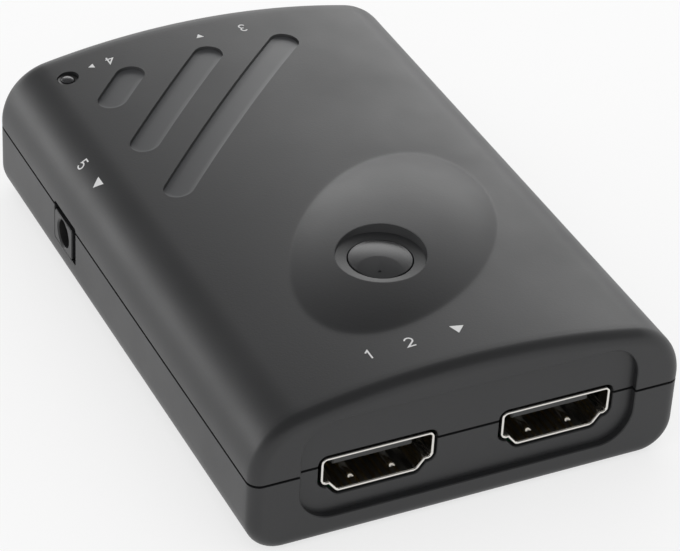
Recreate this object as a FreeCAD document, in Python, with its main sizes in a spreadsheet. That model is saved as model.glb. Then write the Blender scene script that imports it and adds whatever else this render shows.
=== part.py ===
import FreeCAD, Part
import math
import os
import re

import Sketcher

# A small video splitter box: one display input at the back, two outputs at the front.
# Millimetres. Z is up, the underside stands on Z = 0, and the origin is the middle of
# the footprint. The two output sockets face -Y, the input socket faces +Y and the
# power jack faces -X.

doc = FreeCAD.newDocument("splitter")
sheet = doc.addObject("Spreadsheet::Sheet", "Sizes")

SIZES = {
    # casing
    "case_width": 56.9,
    "case_length": 84.8,
    "crown_height": 21.2,
    "crown_fall": 2.1,
    "shoulder_radius": 8.0,
    "bottom_radius": 4.5,
    "front_edge_radius": 1.6,
    "back_edge_radius": 2.5,
    "wall": 2.0,
    "parting_height": 10.4,
    "parting_groove": 0.3,
    "lip_thickness": 0.7,
    "lip_height": 1.2,
    "lip_gap": 0.1,
    "lip_corner": 0.5,
    # panels sunk into the two ends
    "panel_from_side": 6.25,
    "panel_bottom": 3.3,
    "panel_top": 17.5,
    "panel_depth": 0.88,
    "panel_corner": 4.5,
    # oval dome on the lid, turned about the vertical
    "dome_side": 1.45,
    "dome_from_front": 26.14,
    "dome_rise": 1.9,
    "dome_ball_height": 8.0,
    "dome_ball_long": 27.77,
    "dome_ball_short": 16.82,
    "dome_turn": 58.0,
    "dome_ball_from": 35.0,
    # finger well and button
    "button_side": -2.25,
    "button_from_front": 21.75,
    "button_radius": 3.95,
    "button_gap": 0.2,
    "button_top": 22.3,
    "button_crown": 0.8,
    "button_dimple_radius": 10.5,
    "button_dimple_depth": 0.35,
    "button_travel": 0.5,
    "button_flange_radius": 5.0,
    "button_flange_thickness": 1.0,
    "button_stem_radius": 1.6,
    "well_bottom": 21.85,
    "well_lip": 0.05,
    "well_floor_width": 1.26,
    "well_floor_rise": 0.21,
    "well_height": 3.0,
    "well_flare": 0.9,
    "guide_wall": 1.2,
    "guide_bottom": 16.8,
    "stop_gap": 0.05,
    # slanting grip recesses
    "slot_width": 4.0,
    "slot_depth": 0.5,
    "slot_from_side": 10.85,
    "slot_first_from_back": 14.7,
    "slot_step": 11.2,
    "slot_end_from_back": 10.75,
    # power light
    "light_from_side": 7.6,
    "light_from_back": 6.85,
    "light_radius": 1.5,
    "light_gap": 0.2,
    "light_top": 19.3,
    "light_length": 5.3,
    "light_flange_radius": 1.9,
    "light_flange_thickness": 1.0,
    "light_guide_wall": 0.9,
    "light_guide_length": 3.0,
    "light_lead_width": 0.5,
    "light_lead_pitch": 2.54,
    # circuit board
    "board_bottom": 3.7,
    "board_thickness": 1.6,
    "board_gap": 0.5,
    "board_corner": 1.0,
    "tail_length": 0.8,
    "slot_gap": 0.2,
    # output sockets
    "output_from_side": 16.62,
    "socket_top": 11.0,
    "socket_sheet": 0.3,
    "socket_gap": 0.45,
    "output_width": 14.0,
    "output_height": 4.55,
    "output_side": 3.2,
    "output_step": 0.85,
    "output_foot": 10.1,
    "output_tongue_width": 10.4,
    "output_tongue_drop": 1.0,
    # input socket
    "input_width": 16.1,
    "input_height": 4.85,
    "input_chamfer": 2.2,
    "input_tongue_width": 11.4,
    "input_tongue_drop": 1.9,
    # what both kinds of socket share
    "socket_depth": 11.2,
    "tongue_setback": 1.1,
    "tongue_thickness": 1.05,
    "insert_length": 3.2,
    "contact_pitch": 1.0,
    "contact_width": 0.3,
    "contact_thickness": 0.15,
    "contact_setback": 0.5,
    "contact_foot": 0.9,
    "contact_exit": 0.25,
    "leg_width": 1.3,
    "front_leg_depth": 2.6,
    "back_leg_depth": 8.4,
    "latch_length": 3.0,
    "latch_width": 1.7,
    "latch_rise": 0.4,
    "latch_spread": 5.4,
    "latch_depth": 0.7,
    # power jack
    "jack_from_back": 24.8,
    "jack_width": 6.0,
    "jack_height": 4.4,
    "jack_length": 11.0,
    "jack_bore_radius": 1.9,
    "jack_bore_depth": 9.0,
    "jack_pin_radius": 0.65,
    "jack_pin_setback": 1.0,
    "jack_pin_stub": 0.6,
    "jack_spring_thickness": 0.2,
    "jack_spring_width": 1.4,
    "jack_spring_setback": 1.6,
    "jack_near_gap": 1.4,
    "jack_far_gap": 0.3,
    "jack_top_gap": 1.2,
    "jack_bottom_gap": 0.2,
    "jack_tail_width": 1.6,
    "jack_tail_thickness": 0.3,
    # screws from below, with their posts
    "screw_from_side": 5.25,
    "front_screw_from_front": 6.1,
    "back_screw_from_back": 14.4,
    "screw_radius": 1.25,
    "screw_length": 11.5,
    "screw_pilot_spare": 0.5,
    "screw_head_radius": 2.3,
    "screw_head_height": 1.5,
    "screw_head_sink": 0.5,
    "screw_fit": 0.02,
    "screw_slot_length": 2.8,
    "screw_slot_width": 0.5,
    "screw_slot_depth": 0.8,
    "screw_hole_gap": 0.3,
    "post_radius": 2.7,
    "boss_radius": 3.2,
    # push switch under the button
    "switch_width": 6.0,
    "switch_height": 3.4,
    "switch_cover": 0.3,
    "switch_well_radius": 2.4,
    "switch_well_depth": 2.7,
    "plunger_radius": 1.75,
    "plunger_collar_radius": 2.2,
    "plunger_spare": 0.7,
    "plunger_gap": 0.08,
    "snap_radius": 2.25,
    "snap_flat_height": 0.4,
    "snap_thickness": 0.1,
    "switch_leg_width": 0.7,
    "switch_leg_thickness": 0.3,
    "switch_leg_spread": 4.5,
    # parts on the board
    "hub_width": 12.0,
    "hub_height": 1.2,
    "hub_from_front": 44.0,
    "hub_side": 3.0,
    "driver_width": 6.0,
    "driver_height": 0.85,
    "driver_from_front": 26.0,
    "memory_length": 4.9,
    "memory_width": 3.9,
    "memory_height": 1.5,
    "memory_from_side": 12.95,
    "memory_from_front": 52.0,
    "pin_width": 0.4,
    "pin_length": 1.0,
    "pin_thickness": 0.2,
    "pin_pitch": 1.27,
    "crystal_length": 3.2,
    "crystal_width": 2.5,
    "crystal_height": 0.8,
    "crystal_side": 3.0,
    "crystal_from_front": 54.5,
    "coil_width": 5.0,
    "coil_height": 3.0,
    "coil_from_jack": 8.45,
    "coil_before_jack": 8.0,
    "coil_step": 7.5,
    "regulator_length": 3.0,
    "regulator_width": 1.7,
    "regulator_height": 1.1,
    "regulator_from_jack": 2.25,
    "can_radius": 3.15,
    "can_height": 5.0,
    "can_base": 6.6,
    "can_base_height": 0.8,
    "can_from_side": 7.95,
    "can_before_jack": 19.5,
    "can_step": 9.0,
    "chip_cap_length": 1.6,
    "chip_cap_width": 0.8,
    "chip_cap_height": 0.8,
    "chip_cap_step": 1.6,
    "chip_cap_from_hub": 1.8,
    "input_cap_step": 3.0,
    "input_cap_from_back": 18.5,
    "chip_resistor_height": 0.45,
    "chip_resistor_step": 2.25,
    "chip_resistor_row": 2.0,
    "array_length": 2.5,
    "array_width": 1.0,
    "array_height": 0.55,
    "array_step": 3.2,
    "array_row": 2.5,
    "fuse_length": 3.2,
    "fuse_width": 1.6,
    "fuse_height": 0.7,
    "fuse_from_jack": 3.5,
    "fuse_past_jack": 5.0,
    "diode_length": 4.3,
    "diode_width": 2.6,
    "diode_height": 2.2,
    "diode_from_jack": 2.5,
    "diode_past_jack": 8.5,
}

OUTPUT_UPPER_COUNT = 10
OUTPUT_LOWER_COUNT = 9
INPUT_ROW_COUNT = 10

for row, (alias, number) in enumerate(SIZES.items(), start=1):
    sheet.set(f"A{row}", alias)
    sheet.set(f"B{row}", str(number))
    sheet.setAlias(f"B{row}", alias)
doc.recompute()


# Formulas in the names of the sheet

FRONT = "(-case_length/2)"
BACK = "(case_length/2)"
SIDE = "(case_width/2)"
BOARD_TOP = "(board_bottom + board_thickness)"
LOWER_EDGE = "(parting_height - parting_groove/2)"
UPPER_EDGE = "(parting_height + parting_groove/2)"
LIP_TOP = "(parting_height + lip_height)"
BUTTON_X = "button_side"
BUTTON_Y = f"({FRONT} + button_from_front)"
LIGHT_X = f"(-{SIDE} + light_from_side)"
LIGHT_Y = f"({BACK} - light_from_back)"
JACK_Y = f"({BACK} - jack_from_back)"
JACK_END = f"(-{SIDE} + jack_length)"
JACK_AXIS = f"({BOARD_TOP} + jack_height/2)"
SWITCH_TOP = f"({BOARD_TOP} + switch_height + switch_cover)"
PLUNGER_TOP = f"({SWITCH_TOP} + button_travel + plunger_spare)"
SNAP_HEIGHT = "(button_travel + snap_flat_height)"
INSIDE = f"({SIDE} - wall)"
SHOULDER_ROOM = f"(crown_height - crown_fall - {UPPER_EDGE} - parting_groove)"
SHOULDER = f"min(shoulder_radius; {SHOULDER_ROOM})"
SHOULDER_X = f"({SIDE} - {SHOULDER})"
CROWN_RADIUS = (
    f"(({SHOULDER_X}*{SHOULDER_X} + crown_fall*(crown_fall + 2*{SHOULDER})) / (2*crown_fall))"
)
MOUTH_FRONT = f"({FRONT} + panel_depth)"
MOUTH_BACK = f"({BACK} - panel_depth)"
HIGH = "(crown_height + dome_rise + 5)"


def sized(formula):
    """The formula with each sheet name written as a reference to its cell."""
    return re.sub(
        r"[a-z][a-z_]*",
        lambda word: "Sizes." + word.group(0) if word.group(0) in SIZES else word.group(0),
        str(formula),
    )


def value(formula):
    return float(sheet.evalExpression(sized(formula)))


def bind(item, **formulas):
    for name, formula in formulas.items():
        item.setExpression(name, sized(formula))
    return item


def place(item, x="0", y="0", z="0"):
    for axis, formula in zip("xyz", (x, y, z)):
        item.setExpression("Placement.Base." + axis, sized(formula))
    return item


def turn(item, axis, angle):
    item.Placement = FreeCAD.Placement(FreeCAD.Vector(), FreeCAD.Rotation(axis, angle))
    return item


# Plain solids

footprints = {}


def box(name, x, y, z):
    """A block between two formulas along each axis, its footprint kept by name."""
    footprints[name] = (x, y)
    item = doc.addObject("Part::Box", name)
    bind(
        item,
        Length=f"({x[1]}) - ({x[0]})",
        Width=f"({y[1]}) - ({y[0]})",
        Height=f"({z[1]}) - ({z[0]})",
    )
    return place(item, x[0], y[0], z[0])


def centred_box(name, x, y, length, width, z):
    """A block whose middle stands at x, y."""
    return box(
        name,
        (f"{x} - ({length})/2", f"{x} + ({length})/2"),
        (f"{y} - ({width})/2", f"{y} + ({width})/2"),
        z,
    )


def cylinder(name, x, y, radius, z):
    item = doc.addObject("Part::Cylinder", name)
    bind(item, Radius=radius, Height=f"({z[1]}) - ({z[0]})")
    return place(item, x, y, z[0])


def lying_cylinder(name, x, y, z, radius):
    """A cylinder along X between the two formulas of x."""
    item = turn(doc.addObject("Part::Cylinder", name), FreeCAD.Vector(0, 1, 0), 90)
    bind(item, Radius=radius, Height=f"({x[1]}) - ({x[0]})")
    return place(item, x[0], y, z)


def sphere(name, x, y, z, radius):
    item = doc.addObject("Part::Sphere", name)
    bind(item, Radius=radius)
    return place(item, x, y, z)


def fuse(name, *items):
    item = doc.addObject("Part::MultiFuse", name)
    item.Shapes = list(items)
    return item


def common(name, first, second):
    item = doc.addObject("Part::MultiCommon", name)
    item.Shapes = [first, second]
    return item


def cut(name, base, tool):
    item = doc.addObject("Part::Cut", name)
    item.Base = base
    item.Tool = tool
    return item


def group(name, items):
    item = doc.addObject("Part::Compound", name)
    item.Links = list(items)
    return item


# Sketches and bodies

def origin_part(body, role):
    return next(item for item in body.Origin.OriginFeatures if item.Role == role)


def new_sketch(body, name, role):
    sketch = body.newObject("Sketcher::SketchObject", name)
    sketch.AttachmentSupport = (origin_part(body, role), [""])
    sketch.MapMode = "FlatFace"
    return sketch


def fix(sketch, kind, geometry, formula):
    """A dimension from the sketch origin, or of the geometry itself, tied to a formula."""
    index = sketch.addConstraint(Sketcher.Constraint(kind, *geometry, value(formula)))
    sketch.setExpression(f"Constraints[{index}]", sized(formula))


def fix_point(sketch, edge, end, across, up):
    fix(sketch, "DistanceX", (-1, 1, edge, end), across)
    fix(sketch, "DistanceY", (-1, 1, edge, end), up)


def outline(sketch, corners):
    """A closed outline of straight lines through corners given as pairs of formulas."""
    first = sketch.GeometryCount
    points = [FreeCAD.Vector(value(across), value(up), 0) for across, up in corners]
    count = len(points)
    for index in range(count):
        line = Part.LineSegment(points[index], points[(index + 1) % count])
        sketch.addGeometry(line, False)
    for index in range(count):
        following = first + (index + 1) % count
        sketch.addConstraint(Sketcher.Constraint("Coincident", first + index, 2, following, 1))
    for index, (across, up) in enumerate(corners):
        fix_point(sketch, first + index, 1, across, up)


def pad(body, name, sketch, length):
    """The sketch padded by half the length to each side."""
    feature = body.newObject("PartDesign::Pad", name)
    feature.Profile = sketch
    feature.SideType = "Symmetric"
    return bind(feature, Length=length)


def prism(name, role, outlines, length, at=("0", "0", "0")):
    """A body padded evenly to both sides of one plane, then moved to its place."""
    body = doc.addObject("PartDesign::Body", name)
    sketch = new_sketch(body, name + "_sketch", role)
    for corners in outlines:
        outline(sketch, corners)
    pad(body, name + "_pad", sketch, length)
    place(body, *at)
    doc.recompute()
    return body


def matching_edges(shape, test):
    return [f"Edge{index}" for index, edge in enumerate(shape.Edges, start=1) if test(edge)]


def round_edges(body, name, base, test, radius):
    feature = body.newObject("PartDesign::Fillet", name)
    feature.Base = (base, matching_edges(base.Shape, test))
    bind(feature, Radius=radius)
    body.Tip = feature
    doc.recompute()
    return feature


def runs_along(axis):
    """A test for straight edges along the axis, numbered from X."""
    def test(edge):
        start, end = edge.Vertexes[0].Point, edge.Vertexes[-1].Point
        return all(abs(start[i] - end[i]) < 1e-6 for i in range(3) if i != axis)
    return test


def rounded_block(name, x, y, z, radius, axis):
    """A block whose four edges along one axis are rounded."""
    body = doc.addObject("PartDesign::Body", name)
    block = body.newObject("PartDesign::AdditiveBox", name + "_block")
    bind(
        block,
        Length=f"({x[1]}) - ({x[0]})",
        Width=f"({y[1]}) - ({y[0]})",
        Height=f"({z[1]}) - ({z[0]})",
    )
    place(block, x[0], y[0], z[0])
    doc.recompute()
    round_edges(body, name + "_round", block, runs_along(axis), radius)
    return body


# Cross-sections of the casing, seen from the front

def crowned_section(body, name, inset, bottom):
    """Flat sides, round shoulders and a shallow crown, all moved in by the inset."""
    half = f"{SIDE} - {inset}"
    small = f"{SHOULDER} - {inset}"
    large = f"{CROWN_RADIUS} - {inset}"
    crown_centre = f"crown_height - {CROWN_RADIUS}"
    reach = value(f"{CROWN_RADIUS} - {SHOULDER}")
    shoulder_x = value(SHOULDER_X)
    shoulder_z = value(crown_centre) + math.sqrt(reach ** 2 - shoulder_x ** 2)
    lean = math.asin(shoulder_x / reach)
    side, low = value(half), value(bottom)
    sketch = new_sketch(body, name, "XZ_Plane")
    up = FreeCAD.Vector(0, 0, 1)
    right = FreeCAD.Vector(shoulder_x, shoulder_z, 0)
    left = FreeCAD.Vector(-shoulder_x, shoulder_z, 0)
    middle = FreeCAD.Vector(0, value(crown_centre), 0)
    right_circle = Part.Circle(right, up, value(small))
    left_circle = Part.Circle(left, up, value(small))
    crown_circle = Part.Circle(middle, up, value(large))
    sketch.addGeometry(
        [
            Part.LineSegment(FreeCAD.Vector(-side, low, 0), FreeCAD.Vector(side, low, 0)),
            Part.LineSegment(FreeCAD.Vector(side, low, 0), FreeCAD.Vector(side, shoulder_z, 0)),
            Part.ArcOfCircle(right_circle, 0, math.pi / 2 - lean),
            Part.ArcOfCircle(crown_circle, math.pi / 2 - lean, math.pi / 2 + lean),
            Part.ArcOfCircle(left_circle, math.pi / 2 + lean, math.pi),
            Part.LineSegment(FreeCAD.Vector(-side, shoulder_z, 0), FreeCAD.Vector(-side, low, 0)),
        ],
        False,
    )
    sketch.addConstraint([
        Sketcher.Constraint("Coincident", 0, 2, 1, 1),
        Sketcher.Constraint("Tangent", 1, 2, 2, 1),
        Sketcher.Constraint("Tangent", 2, 2, 3, 1),
        Sketcher.Constraint("Tangent", 3, 2, 4, 1),
        Sketcher.Constraint("Tangent", 4, 2, 5, 1),
        Sketcher.Constraint("Coincident", 5, 2, 0, 1),
        Sketcher.Constraint("Vertical", 1),
        Sketcher.Constraint("Vertical", 5),
    ])
    fix_point(sketch, 0, 1, f"-({half})", bottom)
    fix_point(sketch, 0, 2, half, bottom)
    fix(sketch, "Radius", (2,), small)
    fix(sketch, "Radius", (4,), small)
    fix(sketch, "Radius", (3,), large)
    fix_point(sketch, 3, 3, "0", crown_centre)
    return sketch


def crowned_block(name, inset, bottom, length):
    body = doc.addObject("PartDesign::Body", name)
    sketch = crowned_section(body, name + "_section", inset, bottom)
    feature = pad(body, name + "_pad", sketch, length)
    doc.recompute()
    return body, feature


def end_rim(end, low):
    """A test for the edges of one end face, without the straight one at the height low."""
    def test(edge):
        points = [vertex.Point for vertex in edge.Vertexes]
        at_end = all(abs(point.y - end) < 1e-4 for point in points)
        at_low = all(abs(point.z - low) < 1e-4 for point in points)
        return at_end and not at_low
    return test


def round_ends(body, name, base, flat_height):
    """Both end faces of the casing with their rims rounded."""
    front = end_rim(value(FRONT), flat_height)
    back = end_rim(value(BACK), flat_height)
    base = round_edges(body, name + "_front_round", base, front, "front_edge_radius")
    return round_edges(body, name + "_back_round", base, back, "back_edge_radius")


# Outlines of the sockets, moved out by an offset

def output_outline(offset, centre):
    """The opening of an output socket: wide above, stepped in and slanted below."""
    offset = f"({offset})"
    step_half = "(output_width/2 - output_step)"
    foot_half = "(output_foot/2)"
    lean = f"(({step_half} - {foot_half}) / (output_height - output_side))"
    grow = f"{offset} * (sqrt(1 + {lean}*{lean}) - {lean})"
    half = [
        (f"output_width/2 + {offset}", f"socket_top + {offset}"),
        (f"output_width/2 + {offset}", f"socket_top - output_side - {offset}"),
        (f"{step_half} + {grow}", f"socket_top - output_side - {offset}"),
        (f"{foot_half} + {grow}", f"socket_top - output_height - {offset}"),
    ]
    right = [(f"{centre} + {across}", up) for across, up in half]
    left = [(f"{centre} - ({across})", up) for across, up in reversed(half)]
    return right + left


def input_outline(offset, centre):
    """The opening of the input socket: a rectangle with one lower corner cut off."""
    offset = f"({offset})"
    half = f"(input_width/2 + {offset})"
    low = f"(socket_top - input_height - {offset})"
    grow = f"{offset} * (sqrt(2) - 1)"
    return [
        (f"{centre} + {half}", f"socket_top + {offset}"),
        (f"{centre} + {half}", low),
        (f"{centre} - input_width/2 + input_chamfer - {grow}", low),
        (f"{centre} - {half}", f"socket_top - input_height + input_chamfer - {grow}"),
        (f"{centre} - {half}", f"socket_top + {offset}"),
    ]


OUTPUT_X = f"({SIDE} - output_from_side)"
OUTPUTS = {"output_one": f"(-{OUTPUT_X})", "output_two": OUTPUT_X}


class Socket:
    """Where one board socket lies, and which way its mouth faces."""

    def __init__(self, name, outline_of, centre, mouth, inward):
        self.name = name
        self.outline_of = outline_of
        self.centre = centre
        self.mouth = mouth
        self.inward = inward

    def at(self, depth):
        return f"({self.mouth} {self.inward} ({depth}))"

    def span(self, near, far):
        ends = (self.at(near), self.at(far))
        return ends if self.inward == "+" else ends[::-1]

    def tube(self, name, offsets, near, far):
        """A prism of the outline at each offset, between two depths."""
        middle = self.at(f"(({near}) + ({far}))/2")
        outlines = [self.outline_of(offset, "0") for offset in offsets]
        return prism(name, "XZ_Plane", outlines, f"({far}) - ({near})", (self.centre, middle, "0"))


SOCKETS = [
    Socket(name, output_outline, centre, MOUTH_FRONT, "+") for name, centre in OUTPUTS.items()
]
INPUT = Socket("input", input_outline, "0", MOUTH_BACK, "-")

finished = []


def finish(item, label):
    item.Label = label
    finished.append(item)
    return item


# Cutters that the two halves of the casing share

def end_panel(name, end, inward):
    """The shallow rounded recess of one end face."""
    outer, inner = f"{end} {'-' if inward == '+' else '+'} 1", f"{end} {inward} panel_depth"
    depth = (outer, inner) if inward == "+" else (inner, outer)
    width = (f"-{SIDE} + panel_from_side", f"{SIDE} - panel_from_side")
    return rounded_block(name, width, depth, ("panel_bottom", "panel_top"), "panel_corner", 1)


def socket_openings():
    """A way through the wall for each socket, with the gap around it."""
    return [
        socket.tube(socket.name + "_opening", ["socket_sheet + socket_gap"], "-1", "2*wall")
        for socket in SOCKETS + [INPUT]
    ]


jack_opening = box(
    "jack_opening",
    (f"-{SIDE} - 1", f"-{INSIDE} + 1"),
    (f"{JACK_Y} - jack_width/2 - jack_near_gap", f"{JACK_Y} + jack_width/2 + jack_far_gap"),
    (f"{BOARD_TOP} - jack_bottom_gap", f"{BOARD_TOP} + jack_height + jack_top_gap"),
)
shared_cutters = [
    end_panel("front_panel", FRONT, "+"),
    end_panel("back_panel", BACK, "-"),
    jack_opening,
    *socket_openings(),
]

SCREW_X = f"({SIDE} - screw_from_side)"
SCREW_PLACES = [
    (side, along)
    for along in (f"({FRONT} + front_screw_from_front)", f"({BACK} - back_screw_from_back)")
    for side in (f"(-{SCREW_X})", SCREW_X)
]


def at_screws(name, radius, z):
    return [
        cylinder(f"{name}_{index}", x, y, radius, z)
        for index, (x, y) in enumerate(SCREW_PLACES, start=1)
    ]


def lip_block(name, gap, bottom):
    """The block inside which the lip of the lower half lies, grown by the gap."""
    side = f"({INSIDE} + lip_thickness + {gap})"
    end = f"({BACK} - wall + lip_thickness + {gap})"
    return rounded_block(
        name, (f"-{side}", side), (f"-{end}", end), (bottom, LIP_TOP), "lip_thickness + lip_corner", 2
    )


# Upper half of the casing

def grip_slot(name, low, high):
    """An upright stadium between the middles of its two round ends."""
    body = doc.addObject("PartDesign::Body", name)
    sketch = new_sketch(body, name + "_sketch", "XY_Plane")
    ends = [FreeCAD.Vector(value(x), value(y), 0) for x, y in (low, high)]
    along = (ends[1] - ends[0]).normalize()
    side = FreeCAD.Vector(-along.y, along.x, 0)
    angle = math.atan2(side.y, side.x)
    radius = value("slot_width/2")
    up = FreeCAD.Vector(0, 0, 1)
    corners = [
        ends[0] + side * radius,
        ends[1] + side * radius,
        ends[1] - side * radius,
        ends[0] - side * radius,
    ]
    low_circle, high_circle = (Part.Circle(end, up, radius) for end in ends)
    sketch.addGeometry(
        [
            Part.LineSegment(corners[0], corners[1]),
            Part.ArcOfCircle(high_circle, angle - math.pi, angle),
            Part.LineSegment(corners[2], corners[3]),
            Part.ArcOfCircle(low_circle, angle, angle + math.pi),
        ],
        False,
    )
    sketch.addConstraint([
        Sketcher.Constraint("Tangent", 0, 2, 1, 2),
        Sketcher.Constraint("Tangent", 1, 1, 2, 1),
        Sketcher.Constraint("Tangent", 2, 2, 3, 2),
        Sketcher.Constraint("Tangent", 3, 1, 0, 1),
    ])
    fix(sketch, "Radius", (3,), "slot_width/2")
    fix_point(sketch, 3, 3, *low)
    fix_point(sketch, 1, 3, *high)
    feature = pad(body, name + "_pad", sketch, f"2*{HIGH}")
    body.Tip = feature
    doc.recompute()
    return body


def grip_slots():
    """Three slots at 45 degrees, of even spacing, that end in line with each other."""
    slots = []
    side = f"(-{SIDE} + slot_from_side)"
    for index in range(3):
        low_back = f"(slot_first_from_back + {index}*slot_step)"
        rise = f"({low_back} - slot_end_from_back)"
        low = (side, f"{BACK} - {low_back}")
        high = (f"{side} + {rise}", f"{BACK} - slot_end_from_back")
        slots.append(grip_slot(f"grip_slot_{index + 1}", low, high))
    core, _ = crowned_block("slot_floor", "slot_depth", "0", "2*case_length")
    return cut("grip_slots", fuse("grip_prisms", *slots), core)


def make_top_shell():
    body, base = crowned_block("top_outer", "0", UPPER_EDGE, "case_length")
    base = round_ends(body, "top", base, value(UPPER_EDGE))
    dome = body.newObject("PartDesign::AdditiveEllipsoid", "dome")
    bind(dome, Radius1="dome_ball_height", Radius2="dome_ball_long", Radius3="dome_ball_short",
         Angle1="dome_ball_from")
    turn(dome, FreeCAD.Vector(0, 0, 1), 0)
    dome.setExpression("Placement.Rotation.Angle", sized("dome_turn"))
    place(dome, "dome_side", f"{FRONT} + dome_from_front",
          "crown_height + dome_rise - dome_ball_height")
    body.Tip = dome
    hollow, _ = crowned_block("top_hollow", "wall", "-2", "case_length - 2*wall")
    rebate = lip_block("top_rebate", "lip_gap", LOWER_EDGE)
    walls = cut("top_walls", body, fuse("top_inside", hollow, rebate))
    limit, _ = crowned_block("post_limit", "wall/2", "0", "case_length - 2*wall")
    guide = cylinder(
        "button_guide", BUTTON_X, BUTTON_Y,
        "button_radius + button_gap + guide_wall", ("guide_bottom", HIGH),
    )
    light_guide = cylinder(
        "light_guide", LIGHT_X, LIGHT_Y,
        "light_radius + light_gap + light_guide_wall",
        ("light_top - light_guide_length", HIGH),
    )
    posts = at_screws("top_post", "post_radius", (BOARD_TOP, HIGH))
    inner = common("top_posts", fuse("top_post_group", guide, light_guide, *posts), limit)
    well_edge = "(button_radius + button_gap + well_lip)"
    well_foot = f"({well_edge} + well_floor_width)"
    well_floor = doc.addObject("Part::Cone", "finger_well_floor")
    bind(well_floor, Radius1=well_edge, Radius2=well_foot, Height="well_floor_rise")
    place(well_floor, BUTTON_X, BUTTON_Y, "well_bottom")
    well = doc.addObject("Part::Cone", "finger_well")
    bind(well, Radius1=well_foot, Radius2=f"{well_foot} + well_flare", Height="well_height")
    place(well, BUTTON_X, BUTTON_Y, "(well_bottom + well_floor_rise)")
    cutters = [
        well_floor,
        well,
        cylinder("button_hole", BUTTON_X, BUTTON_Y, "button_radius + button_gap", ("0", HIGH)),
        cylinder("light_hole", LIGHT_X, LIGHT_Y, "light_radius + light_gap", ("0", HIGH)),
        *at_screws(
            "top_pilot", "screw_radius + screw_fit",
            (f"{BOARD_TOP} - 1", "screw_head_sink + screw_head_height + screw_length + screw_pilot_spare"),
        ),
        grip_slots(),
        *shared_cutters,
    ]
    shell = cut("top_shell", fuse("top_solid", walls, inner), fuse("top_cutters", *cutters))
    return finish(shell, "top_shell")


# Lower half of the casing

def rounded_tray(name, inset, top, length):
    """A long block whose two lower edges along Y are rounded."""
    body = doc.addObject("PartDesign::Body", name)
    block = body.newObject("PartDesign::AdditiveBox", name + "_block")
    bind(block, Length=f"case_width - 2*{inset}", Width=length, Height=f"{top} - {inset}")
    place(block, f"-{SIDE} + {inset}", f"-({length})/2", inset)
    doc.recompute()
    low = value(inset)

    def lower_long_edge(edge):
        on_floor = all(abs(vertex.Point.z - low) < 1e-6 for vertex in edge.Vertexes)
        return on_floor and runs_along(1)(edge)

    feature = round_edges(
        body, name + "_long_round", block, lower_long_edge, f"bottom_radius - {inset}"
    )
    return body, feature


def make_bottom_shell():
    body, base = rounded_tray("bottom_outer", "0", LOWER_EDGE, "case_length")
    round_ends(body, "bottom", base, value(LOWER_EDGE))
    lip = lip_block("bottom_lip", "0", "bottom_radius")
    hollow, _ = rounded_tray("bottom_hollow", "wall", f"({LIP_TOP} + 1)", "case_length - 2*wall")
    walls = cut("bottom_walls", fuse("bottom_block", body, lip), hollow)
    bosses = at_screws("bottom_boss", "boss_radius", ("wall/2", "board_bottom"))
    head_top = "screw_head_sink + screw_head_height"
    cutters = [
        *at_screws("head_hole", "screw_head_radius + screw_hole_gap", ("-1", head_top)),
        *at_screws("shank_hole", "screw_radius + screw_hole_gap", ("0", "board_bottom + 1")),
        *shared_cutters,
    ]
    shell = cut(
        "bottom_shell", fuse("bottom_solid", walls, *bosses), fuse("bottom_cutters", *cutters)
    )
    return finish(shell, "bottom_shell")


def make_screws():
    """Four screws driven from below, each with a crossed slot in its head."""
    heads = at_screws(
        "screw_head", "screw_head_radius", ("screw_head_sink", "screw_head_sink + screw_head_height")
    )
    shanks = at_screws(
        "screw_shank", "screw_radius",
        ("screw_head_sink", "screw_head_sink + screw_head_height + screw_length"),
    )
    slots = []
    depth = ("screw_head_sink - 1", "screw_head_sink + screw_slot_depth")
    for index, (x, y) in enumerate(SCREW_PLACES, start=1):
        long, thin = "screw_slot_length", "screw_slot_width"
        slots.append(centred_box(f"screw_slot_x_{index}", x, y, long, thin, depth))
        slots.append(centred_box(f"screw_slot_y_{index}", x, y, thin, long, depth))
    solid = fuse("screw_solids", *heads, *shanks)
    return finish(cut("case_screws", solid, fuse("screw_slots", *slots)), "case_screws")


# Sockets

def contact_row(socket, name, count, under, shift):
    """Bent contacts along X: a strip on the tongue, a drop behind it and a foot."""
    thick = "contact_thickness"
    strip = (f"{under}", f"{under} + {thick}")
    back = "socket_depth + contact_exit"
    start = "tongue_setback + contact_setback"
    corners = [
        (socket.at(start), strip[0]),
        (socket.at(start), strip[1]),
        (socket.at(f"{back} + {thick}"), strip[1]),
        (socket.at(f"{back} + {thick}"), f"{BOARD_TOP} + {thick}"),
        (socket.at(f"{back} + {thick} + contact_foot"), f"{BOARD_TOP} + {thick}"),
        (socket.at(f"{back} + {thick} + contact_foot"), BOARD_TOP),
        (socket.at(back), BOARD_TOP),
        (socket.at(back), strip[0]),
    ]
    body = doc.addObject("PartDesign::Body", name)
    body.AllowCompound = True
    sketch = new_sketch(body, name + "_sketch", "YZ_Plane")
    outline(sketch, corners)
    first = pad(body, name + "_pad", sketch, "contact_width")
    doc.recompute()
    row = body.newObject("PartDesign::LinearPattern", name + "_row")
    row.Originals = [first]
    row.Direction = (origin_part(body, "X_Axis"), [""])
    row.Occurrences = count
    bind(row, Length=f"{count - 1} * contact_pitch")
    body.Tip = row
    place(body, f"{socket.centre} - {count - 1}*contact_pitch/2 + ({shift})")
    doc.recompute()
    return body


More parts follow.
